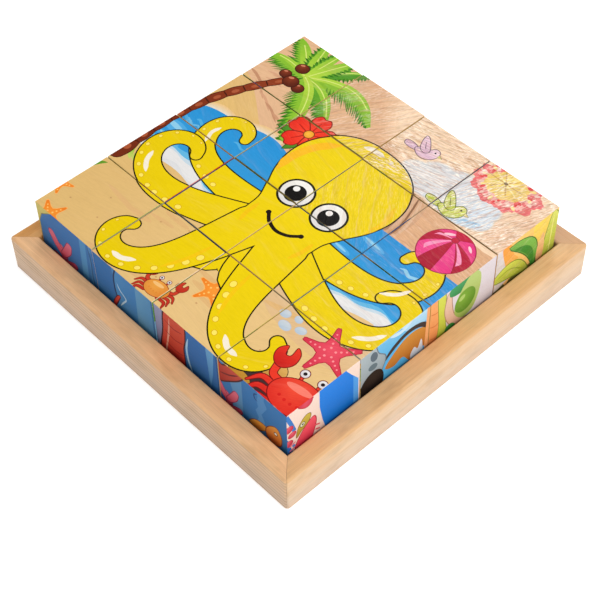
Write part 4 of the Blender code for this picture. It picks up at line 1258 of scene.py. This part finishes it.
def pine(name, light, dark, band, upper, side, low_side, contrast=1.0, spacing=1.0, warmth=0.5, flat=0.6):
    """Clear-coated pine.  The wood attribute holds millimetres: x along the rail, y and z from the tree's centre.

    upper tints the faces on top, side and low_side the others near the top and near the floor; flat is how much of
    the ring contrast the top keeps.
    """
    m = Nodes(name)
    wood = m.attribute("wood")
    slow = m.noise(m.vec("MULTIPLY", wood, (0.012, 0.06, 0.06)), 1.0, 2.0, 0.5)
    slow2 = m.noise(m.vec("MULTIPLY", wood, (0.05, 0.30, 0.30)), 1.0, 2.0, 0.5)
    sep = m.node("ShaderNodeSeparateXYZ")
    m.link(wood, sep.inputs[0])
    radius = m.math("SQRT", m.math("ADD", m.math("POWER", sep.outputs[1], 2.0), m.math("POWER", sep.outputs[2], 2.0)))
    ring = m.math("ADD", m.math("MULTIPLY", radius, 1.0 / spacing), m.math("MULTIPLY", slow, 2.2))
    ring = m.math("ADD", ring, m.math("MULTIPLY", slow2, 0.5))
    saw = m.math("FRACT", ring)
    late = m.grey(saw, ((0.0, 0.0), (0.45, 0.12), (0.80, 0.85), (0.92, 1.0), (1.0, 0.0)))
    # some years grow more late wood than others
    year = m.noise(m.vec("MULTIPLY", wood, (0.004, 0.34, 0.34)), 1.0, 2.0, 0.7)
    late = m.math("MULTIPLY", late, m.grey(year, ((0.34, 0.25), (0.62, 1.0))))
    top = m.attribute("upper", "Fac")
    late = m.math("MULTIPLY", late, m.math("MULTIPLY_ADD", top, flat - 1.0, 1.0))
    fibre = m.noise(m.vec("MULTIPLY", wood, (0.10, 4.0, 4.0)), 1.0, 3.0, 0.6)
    fine = m.noise(m.vec("MULTIPLY", wood, (0.4, 11.0, 11.0)), 1.0, 2.0, 0.5)
    cloud = m.noise(m.vec("MULTIPLY", wood, (0.02, 0.22, 0.22)), 1.0, 3.0, 0.55)
    stain = m.noise(m.vec("MULTIPLY", wood, (0.07, 0.16, 0.16)), 1.0, 3.0, 0.6)
    c1 = m.mix(m.math("MULTIPLY", late, 0.55 * contrast), light, dark)
    c2 = m.mix(m.math("MULTIPLY", m.grey(cloud, ((0.38, 0.0), (0.66, 1.0))), warmth), c1, band)
    c3 = m.mix(1.0, c2, m.grey(fibre, ((0.28, 0.86), (0.5, 1.0), (0.74, 1.07))), "MULTIPLY")
    c4 = m.mix(m.grey(fine, ((0.64, 0.0), (0.78, 0.30))), c3, dark)
    # soft blotches in the coat
    c4 = m.mix(1.0, c4, m.ramp(stain, ((0.32, rgba((240, 235, 228))), (0.5, rgba((255, 254, 252))), (0.7, rgba((255, 255, 255))))), "MULTIPLY")
    # the upper faces cut the rings flat and look warmer; the sides turn paler and greyer towards the bottom
    place = m.node("ShaderNodeSeparateXYZ")
    m.link(m.node("ShaderNodeTexCoord").outputs["Object"], place.inputs[0])
    low = m.grey(place.outputs[2], ((0.001, 1.0), (0.012, 0.0)))
    side_tint = m.mix(low, side, low_side)
    c4 = m.mix(top, m.mix(1.0, c4, side_tint, "MULTIPLY"), m.mix(1.0, c4, upper, "MULTIPLY"))
    m.link(c4, m.shader.inputs["Base Color"])
    m.link(m.grey(fibre, ((0.3, 0.46), (0.7, 0.60))), m.shader.inputs["Roughness"])
    m.set(Coat_Weight=0.12, Coat_Roughness=0.35, Specular_IOR_Level=0.4)
    height = m.math("ADD", m.math("MULTIPLY", fibre, 0.8), m.math("MULTIPLY", late, 0.6))
    height = m.math("ADD", height, m.math("MULTIPLY", fine, 0.4))
    m.link(m.bump(height, 0.5, 0.00008), m.shader.inputs["Normal"])
    return m.mat


def steel():
    m = Nodes("bright_brad_steel")
    geo = m.node("ShaderNodeTexCoord").outputs["Object"]
    n = m.noise(geo, 1800.0, 3.0, 0.6)
    m.link(m.ramp(n, ((0.35, rgba((150, 150, 152))), (0.7, rgba((196, 196, 198))))), m.shader.inputs["Base Color"])
    m.link(m.grey(n, ((0.3, 0.26), (0.7, 0.42))), m.shader.inputs["Roughness"])
    m.set(Metallic=1.0)
    return m.mat


# ================================================================ the sixteen cubes
def frames_of(node):
    """Centre in mm and turn about +Z of a CAD cube, from its own mesh."""
    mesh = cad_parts[node].data
    lo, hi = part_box(node)
    turn, best = 0.0, 0.0
    for p in mesh.polygons:
        n = p.normal
        if n.x > 0.9 and p.area > best:
            best, turn = p.area, math.atan2(n.y, n.x)
    return (lo + hi) / 2, turn


def plan_faces():
    """Which cell of which picture each cube shows on each face: every cell of every picture is used exactly once."""
    rng = np.random.RandomState(2)
    keys = [(c, r) for r in range(4) for c in range(4)]
    fixed = {  # (cube column, row), face: (picture, cell column, cell row)
        ((0, 0), "front"): (1, 0, 0), ((1, 0), "front"): (1, 2, 1), ((2, 0), "front"): (1, 1, 2), ((3, 0), "front"): (1, 3, 0),
        ((3, 0), "right"): (2, 0, 0), ((3, 1), "right"): (3, 1, 1), ((3, 2), "right"): (4, 1, 2), ((3, 3), "right"): (5, 3, 2),
    }
    plan = {k: {"top": (0, k[0], k[1], 0)} for k in keys}
    order = ["front", "right", "back", "left", "bottom"]
    for i, k in enumerate(keys):
        used = {}
        for f in order:
            if (k, f) in fixed:
                used[f] = fixed[k, f][0]
        rest = [p for p in (1, 2, 3, 4, 5) if p not in used.values()]
        shift = i % len(rest)
        rest = rest[shift:] + rest[:shift]
        for f in order:
            if f not in used:
                used[f] = rest.pop(0)
        for f, p in used.items():
            plan[k][f] = [p, None, None, 0]
    for p in (1, 2, 3, 4, 5):
        cells = [(c, r) for r in range(4) for c in range(4)]
        for (k, f), (pp, c, r) in fixed.items():
            if pp == p:
                plan[k][f][1:3] = [c, r]
                cells.remove((c, r))
        cells = [cells[j] for j in rng.permutation(len(cells))]
        for k in keys:
            for f in order:
                if plan[k][f][0] == p and plan[k][f][1] is None:
                    plan[k][f][1:3] = list(cells.pop())
                    plan[k][f][3] = int(rng.randint(4))
    return plan


def rotation(axis, degrees):
    return np.array(Matrix.Rotation(math.radians(degrees), 3, axis))


def build_cubes():
    pictures = [beach(), reef(), rock_pool(), hillside(), orchard(), jungle()]
    plan = plan_faces()
    mat = printed_wood()
    rng = np.random.RandomState(9)
    for (column, row), faces in plan.items():
        label = "r%dc%d" % (row + 1, column + 1)
        node = "picture_cube_" + label
        cells, pitches = {}, {}
        for key, (p, c, r, turn) in faces.items():
            cells[key] = Cell(pictures[p], c, r, turn)
            pitches[key] = 1.6 if key == "top" else 2.6
        angle = GRAIN.get((column, row), (rng.uniform(-30, 30), rng.uniform(20, 60)))
        turn_m = rotation("X", rng.uniform(-20, 20)) @ rotation("Z", -angle[0])
        shift = np.array([rng.uniform(0, 400), -angle[1] * math.cos(angle[0]), -12 - rng.uniform(0, 20)])
        # painted shade darkening the inner edges, where cubes meet
        inner = {k: (SEAM_WEAR_AND_SHADE, 0.45) for k, ok in (("left", column > 0), ("right", column < 3), ("front", row > 0), ("back", row < 3)) if ok}
        inner.update({k: (c, 0.95) for (place, k), c in EDGE_INK_AND_SHADE.items() if place == (column, row)})
        mesh = cube_mesh("printed_cube_" + label, cells, {"turn": turn_m, "shift": shift}, pitches, RELIEF[3 - row][column], inner)
        mesh.materials.append(mat)
        obj = bpy.data.objects.new("printed_cube_" + label, mesh)
        bpy.context.scene.collection.objects.link(obj)
        centre, turn = frames_of(node)
        mesh.transform(Matrix.Translation(centre) @ Matrix.Rotation(turn, 4, "Z"))
        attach(obj, "cube_" + label)
        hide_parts(node)


# direction of the grain on the top face in degrees from +X, and how far off the tree's centre lies
GRAIN = {
    (0, 0): (10, 40), (1, 0): (4, 30), (2, 0): (-8, 44), (3, 0): (30, 36),
    (0, 1): (-6, 52), (1, 1): (8, 34), (2, 1): (-14, 30), (3, 1): (-5, 46),
    (0, 2): (-30, 38), (1, 2): (-12, 44), (2, 2): (-50, 26), (3, 2): (-7, 34),
    (0, 3): (14, 30), (1, 3): (60, 34), (2, 3): (14, 30), (3, 3): (66, 28),
}
# colour blended over the rounded edges between cubes: painted shade darkening the seams, in the brown of worn wood;
# dark ink where a side's print wraps over; and paler tones on a few seams
SEAM_WEAR_AND_SHADE = (150, 124, 84)
EDGE_INK_AND_SHADE = {
    ((0, 1), "right"): (200, 46, 22), ((0, 0), "right"): (96, 146, 66), ((1, 3), "front"): (60, 104, 34), ((0, 2), "right"): (170, 176, 150),
    ((1, 1), "front"): (190, 160, 110), ((1, 2), "front"): (120, 104, 80), ((2, 2), "front"): (130, 118, 84), ((2, 1), "right"): (130, 124, 60),
    ((2, 3), "right"): (150, 120, 84), ((3, 3), "left"): (140, 112, 80), ((3, 2), "back"): (150, 116, 84), ((3, 3), "front"): (140, 108, 76),
    ((1, 0), "right"): (238, 214, 190), ((1, 1), "right"): (226, 198, 120), ((1, 2), "right"): (214, 190, 90), ((2, 0), "right"): (190, 176, 96),
}
# how strongly the grain stands out, and with it the painted glints, back row first
RELIEF = ((0.24, 0.68, 0.95, 1.00), (0.16, 0.20, 0.38, 0.44), (0.08, 0.12, 0.14, 0.26), (0.10, 0.10, 0.10, 0.16))


# ================================================================ the tray
def rail_points(inner, outer, height, rebate, ceiling):
    """Closed section of a rail as (distance from the tray's middle, height) points, with its eased edges."""
    pts = []

    def arc(cd, cz, r, a0, a1, n):
        for k in range(n + 1):
            a = math.radians(a0 + (a1 - a0) * k / n)
            pts.append((cd + r * math.cos(a), cz + r * math.sin(a)))

    pts.append((rebate, 0.0))
    arc(outer - 0.35, 0.35, 0.35, -90, 0, 4)
    arc(outer - 1.0, height - 1.0, 1.0, 0, 90, 8)
    arc(inner + 0.7, height - 0.7, 0.7, 90, 180, 6)
    pts.append((inner, ceiling))
    pts.append((rebate, ceiling))
    return np.array(pts)


def build_rail(side, index, mat, wood):
    lo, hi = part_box("rail_" + side)
    lo, hi = np.array(lo) * 1000, np.array(hi) * 1000
    outer = max(abs(lo[0]), abs(lo[1]), abs(hi[0]), abs(hi[1]))
    width = min(hi[0] - lo[0], hi[1] - lo[1])
    height = hi[2]
    inner = outer - width
    section = rail_points(inner, outer, height, inner + 3.6, 1.7)
    gap = 0.05
    corner = 1.3
    middle = outer - corner
    M, K = 72, 5
    rng = np.random.RandomState(40 + index)
    t = np.linspace(-1, 1, M + 1)
    # slow unevenness of the sanded edges
    waver = np.zeros((len(section), M + 1))
    for p, (d, z) in enumerate(section):
        edge_ness = min(1.0, 2.5 * max(0.0, 1 - abs(math.hypot(d - outer, z - height)) / 1.4)) + min(1.0, 2.0 * max(0.0, 1 - math.hypot(d - inner, z - height) / 1.2))
        if edge_ness > 0:
            waver[p] = edge_ness
    slow = sum(rng.uniform(-1, 1) * np.sin(t * f + rng.uniform(0, 6.28)) for f in (3.1, 7.3, 13.7, 23.0)) * 0.018
    rows = []
    for p, (d, z) in enumerate(section):
        end = d - gap
        line = []
        if d > middle:
            radius = corner - (outer - d)
            start = -math.pi / 4 - math.asin(min(0.9, gap / (math.sqrt(2) * max(radius, 0.1))))
            arc = []
            for k in range(K + 1):
                a = -math.pi / 2 + (start + math.pi / 2) * k / K
                arc.append((middle + radius * math.cos(a), -middle + radius * math.sin(a)))
            straight = [(x, -d) for x in t * middle]
            line = [(-x, y) for x, y in arc[:0:-1]] + straight + arc[1:]
        else:
            c = end - 0.9 + 0.06 * (d - inner)
            straight = [(x, -d) for x in t * c]
            arc = [(c + (end - c) * k / K, -d) for k in range(1, K + 1)]
            line = [(-x, y) for x, y in arc[::-1]] + straight + arc
        line = np.array(line)
        out = np.column_stack([line, np.full(len(line), z)])
        full = np.concatenate([np.zeros(K), slow * waver[p], np.zeros(K)])
        out[:, 1] += np.abs(full)
        out[:, 2] -= np.abs(full) * (1.0 if z > height / 2 else 0.0)
        rows.append(out)
    grid = np.array(rows)  # section point, station, xyz
    P, S = grid.shape[:2]
    verts = grid.reshape(-1, 3)
    faces = []
    for p in range(P):
        q = (p + 1) % P
        for s in range(S - 1):
            faces.append((p * S + s, p * S + s + 1, q * S + s + 1, q * S + s))
    faces.append([p * S for p in range(P)])
    faces.append([p * S + S - 1 for p in range(P)][::-1])
    mesh = bpy.data.meshes.new("pine_rail_" + side)
    a = index * math.pi / 2
    rot = np.array([[math.cos(a), -math.sin(a), 0], [math.sin(a), math.cos(a), 0], [0, 0, 1]])
    mesh.from_pydata([tuple(v) for v in (verts @ rot.T) * MM], [], [tuple(f) for f in faces])
    import bmesh
    bm = bmesh.new()
    bm.from_mesh(mesh)
    bmesh.ops.recalc_face_normals(bm, faces=bm.faces)
    bm.to_mesh(mesh)
    bm.free()
    mesh.shade_smooth()
    mesh.set_sharp_from_angle(angle=math.radians(35))
    attr = mesh.attributes.new("wood", "FLOAT_VECTOR", "POINT")
    shift, spin = wood
    w = verts * 1.0
    c, s = math.cos(math.radians(spin)), math.sin(math.radians(spin))
    y, z = w[:, 1] + 65.1, w[:, 2] - 7.2
    w = np.column_stack([w[:, 0] + shift[0], y * c - z * s + shift[1], y * s + z * c + shift[2]])
    attr.data.foreach_set("vector", w.astype(np.float32).ravel())
    shape = np.repeat(np.array([np.clip((z - 12.9) / 1.2, 0, 1) for _, z in section]), S)
    up = mesh.attributes.new("upper", "FLOAT", "POINT")
    up.data.foreach_set("value", shape.astype(np.float32))
    mesh.materials.append(mat)
    obj = bpy.data.objects.new("pine_rail_" + side, mesh)
    bpy.context.scene.collection.objects.link(obj)
    mod = obj.modifiers.new("even_shading", "WEIGHTED_NORMAL")
    mod.keep_sharp = True
    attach(obj, "tray")
    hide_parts("rail_" + side)
    return obj


def panel_mesh(lo, hi, holes, radius, ease=0.12, lip=0.06, n=28):
    """The thin base panel in mm: a plate with eased edges and an open hole for the head of each brad."""
    t = np.linspace(-1, 1, 13)
    cx, cy = (lo[:2] + hi[:2]) / 2
    hx, hy = (hi[:2] - lo[:2]) / 2

    def border(inset):
        ax, ay = hx - inset, hy - inset
        return ([(cx + k * ax, cy - ay) for k in t[:-1]] + [(cx + ax, cy + k * ay) for k in t[:-1]]
                + [(cx - k * ax, cy + ay) for k in t[:-1]] + [(cx - ax, cy - k * ay) for k in t[:-1]])

    def circle(spot, r):
        a = [2 * math.pi * k / n for k in range(n)]
        return [(spot[0] + r * math.cos(k), spot[1] + r * math.sin(k)) for k in a]

    verts, faces = [], []

    def loop(points, z):
        start = len(verts)
        verts.extend((x, y, z) for x, y in points)
        return np.arange(start, start + len(points))

    def wall(low, high, outward):
        for a, b, c, d in zip(low, np.roll(low, -1), np.roll(high, -1), high):
            faces.append((a, b, c, d) if outward else (d, c, b, a))

    def plate(loops, r, up):
        """Fills the flat face between the first loop and the holes of radius r."""
        ids = np.concatenate(loops)
        points = np.array([verts[k][:2] for k in ids])
        edges, start = [], 0
        for one in loops:
            edges += [(start + k, start + (k + 1) % len(one)) for k in range(len(one))]
            start += len(one)
        out, _, tris, *_ = delaunay_2d_cdt([Vector(p) for p in points], edges, [], 0, 1e-5, False)
        match = [ids[np.argmin(np.hypot(points[:, 0] - v.x, points[:, 1] - v.y))] for v in out]
        for tri in tris:
            p = [out[k] for k in tri]
            mid = (p[0] + p[1] + p[2]) / 3
            if any(math.hypot(mid.x - x, mid.y - y) < r for x, y in holes):
                continue
            turn = (p[1] - p[0]).cross(p[2] - p[0])
            if abs(turn) > 1e-9:
                face = [match[k] for k in tri]
                faces.append(tuple(face if (turn > 0) == up else face[::-1]))

    z0, z1 = lo[2], hi[2]
    rows = [loop(border(d), z) for d, z in ((ease, z0), (0, z0 + ease), (0, z1 - ease), (ease, z1))]
    for a, b in zip(rows, rows[1:]):
        wall(a, b, True)
    mouths, tops = [rows[0]], [rows[-1]]
    for spot in holes:
        low, lipped, top = loop(circle(spot, radius + lip), z0), loop(circle(spot, radius), z0 + lip), loop(circle(spot, radius), z1)
        wall(low, lipped, False)
        wall(lipped, top, False)
        mouths.append(low)
        tops.append(top)
    plate(mouths, radius + lip, False)
    plate(tops, radius, True)
    mesh = bpy.data.meshes.new("plywood_panel")
    mesh.from_pydata([tuple(float(c) * MM for c in v) for v in verts], [], [tuple(int(k) for k in f) for f in faces])
    mesh.validate()
    return mesh


def build_tray():
    front = pine("pine_front", rgba((233, 200, 166)), rgba((172, 140, 110)), rgba((236, 190, 150)), rgba((255, 238, 214)), rgba((235, 233, 224)), rgba((226, 228, 235)), contrast=1.8, spacing=1.5, warmth=0.35, flat=0.35)
    right = pine("pine_right", rgba((217, 194, 169)), rgba((204, 164, 124)), rgba((224, 189, 152)), rgba((248, 226, 192)), rgba((253, 248, 235)), rgba((241, 240, 245)), contrast=0.9, spacing=1.7, warmth=0.6)
    back = pine("pine_back", rgba((226, 196, 160)), rgba((194, 150, 106)), rgba((228, 184, 144)), rgba((226, 210, 192)), rgba((250, 246, 238)), rgba((242, 242, 242)), contrast=1.1, spacing=1.5, warmth=0.5)
    left = pine("pine_left", rgba((228, 192, 150)), rgba((194, 146, 98)), rgba((232, 182, 116)), rgba((232, 208, 166)), rgba((250, 246, 238)), rgba((242, 242, 242)), contrast=1.2, spacing=1.4, warmth=0.6)
    build_rail("front", 0, front, ((300.0, 3.0, 46.0), 6))
    build_rail("right", 1, right, ((900.0, 48.0, 4.0), -8))
    build_rail("back", 2, back, ((1500.0, 30.0, 30.0), 20))
    build_rail("left", 3, left, ((2100.0, 6.0, 38.0), 10))
    # base panel: thin plywood, seen from below
    ply = pine("plywood_base", rgba((222, 190, 150)), rgba((188, 146, 104)), rgba((214, 172, 126)), rgba((255, 255, 255)), rgba((255, 252, 248)), rgba((255, 252, 248)), contrast=0.9, spacing=4.5, warmth=0.2)
    import bmesh
    lo, hi = (np.array(v) * 1000 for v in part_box("base_panel"))
    spots = []
    for k in range(1, 9):
        a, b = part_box("panel_pin_%d" % k)
        spots.append(((a.x + b.x) * 500, (a.y + b.y) * 500))
    mesh = panel_mesh(lo, hi, spots, (b.x - a.x) * 500 + 0.12)
    mesh.shade_smooth()
    mesh.set_sharp_from_angle(angle=math.radians(35))
    co = np.zeros(len(mesh.vertices) * 3)
    mesh.vertices.foreach_get("co", co)
    co = co.reshape(-1, 3) * 1000
    attr = mesh.attributes.new("wood", "FLOAT_VECTOR", "POINT")
    w = np.column_stack([co[:, 0] + 3300, co[:, 1] * 0.5 + 14, co[:, 2] + 60 + 0.12 * co[:, 1]])
    attr.data.foreach_set("vector", w.astype(np.float32).ravel())
    mesh.materials.append(ply)
    obj = bpy.data.objects.new("plywood_panel", mesh)
    bpy.context.scene.collection.objects.link(obj)
    mod = obj.modifiers.new("even_shading", "WEIGHTED_NORMAL")
    mod.keep_sharp = True
    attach(obj, "tray")
    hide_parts("base_panel")
    # brads
    metal = steel()
    for k in range(1, 9):
        lo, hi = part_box("panel_pin_%d" % k)
        c = (lo + hi) / 2
        r, top, low = (hi.x - lo.x) / 2, hi.z, lo.z
        section = [(0.0, low), (r * 0.55, low), (r * 0.86, low + 0.00004), (r, low + 0.00012), (r, low + 0.0003), (r * 0.9, low + 0.0004),
                   (0.0005, low + 0.00042), (0.0005, top - 0.0009), (0.0002, top - 0.0001), (0.0, top)]
        bm = bmesh.new()
        rings, n = [], 28
        for rr, z in section:
            if rr == 0.0:
                rings.append([bm.verts.new((c.x, c.y, z))])
            else:
                rings.append([bm.verts.new((c.x + rr * math.cos(2 * math.pi * j / n), c.y + rr * math.sin(2 * math.pi * j / n), z)) for j in range(n)])
        for a, b in zip(rings, rings[1:]):
            for j in range(n):
                i = (j + 1) % n
                if len(a) == 1:
                    bm.faces.new((a[0], b[i], b[j]))
                elif len(b) == 1:
                    bm.faces.new((a[j], a[i], b[0]))
                else:
                    bm.faces.new((a[j], a[i], b[i], b[j]))
        bmesh.ops.recalc_face_normals(bm, faces=bm.faces)
        mesh = bpy.data.meshes.new("steel_brad_%d" % k)
        bm.to_mesh(mesh)
        bm.free()
        mesh.shade_smooth()
        mesh.set_sharp_from_angle(angle=math.radians(50))
        mesh.materials.append(metal)
        obj = bpy.data.objects.new("steel_brad_%d" % k, mesh)
        bpy.context.scene.collection.objects.link(obj)
        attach(obj, "tray")
        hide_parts("panel_pin_%d" % k)


# ================================================================ floor, light and camera
def build_stage():
    scene = bpy.context.scene
    scene.view_settings.view_transform = "Standard"
    scene.view_settings.look = "None"
    mesh = bpy.data.meshes.new("studio_floor")
    s = 6.0
    mesh.from_pydata([(-s, -s, -0.0002), (s, -s, -0.0002), (s, s, -0.0002), (-s, s, -0.0002)], [], [(0, 1, 2, 3)])
    floor = bpy.data.objects.new("studio_floor", mesh)
    scene.collection.objects.link(floor)
    m = Nodes("pale_floor")
    m.set(Roughness=0.9, Specular_IOR_Level=0.1, Emission_Strength=0.50)
    m.shader.inputs["Emission Color"].default_value = (1.0, 1.0, 1.0, 1.0)
    m.shader.inputs["Base Color"].default_value = (0.78, 0.78, 0.78, 1.0)
    mesh.materials.append(m.mat)

    world = bpy.data.worlds.new("studio")
    scene.world = world
    world.use_nodes = True
    world.node_tree.nodes["Background"].inputs[0].default_value = (1.0, 1.0, 1.0, 1.0)
    world.node_tree.nodes["Background"].inputs[1].default_value = 0.30

    def area(name, position, target, size, power, colour=(1, 1, 1), size_y=None):
        data = bpy.data.lights.new(name, "AREA")
        data.shape = "RECTANGLE"
        data.size = size
        data.size_y = size_y or size
        data.energy = power
        data.color = colour
        obj = bpy.data.objects.new(name, data)
        scene.collection.objects.link(obj)
        obj.location = position
        d = (Vector(target) - Vector(position)).normalized()
        obj.rotation_euler = d.to_track_quat("-Z", "Y").to_euler()
        return obj

    area("key_right", (0.85, 0.05, 0.80), (0, 0, 0.01), 0.6, 7.4)
    area("top_soft", (0.10, -0.10, 1.20), (0, 0, 0.01), 0.7, 5.6)
    area("glare", (-0.36, 0.60, 0.72), (0.045, 0.035, 0.03), 0.34, 2.0)


def build_camera():
    az, el, roll = math.radians(47.8955), math.radians(49.354), math.radians(-1.4314)
    target, distance = Vector((0.010756, -0.009056, 0.0)), 0.4906
    back = Vector((math.sin(az) * math.cos(el), -math.cos(az) * math.cos(el), math.sin(el)))
    right = Vector((0, 0, 1)).cross(back).normalized()
    up = back.cross(right)
    x = math.cos(roll) * right + math.sin(roll) * up
    y = -math.sin(roll) * right + math.cos(roll) * up
    data = bpy.data.cameras.new("camera")
    data.sensor_width = 36.0
    data.sensor_fit = "HORIZONTAL"
    data.lens = 1458.08 * 36.0 / 600.0
    data.clip_start, data.clip_end = 0.01, 30.0
    obj = bpy.data.objects.new("camera", data)
    bpy.context.scene.collection.objects.link(obj)
    m = Matrix((x, y, back)).transposed().to_4x4()
    m.translation = target + back * distance
    obj.matrix_world = m
    bpy.context.scene.camera = obj


build_stage()
build_camera()
build_tray()
build_cubes()
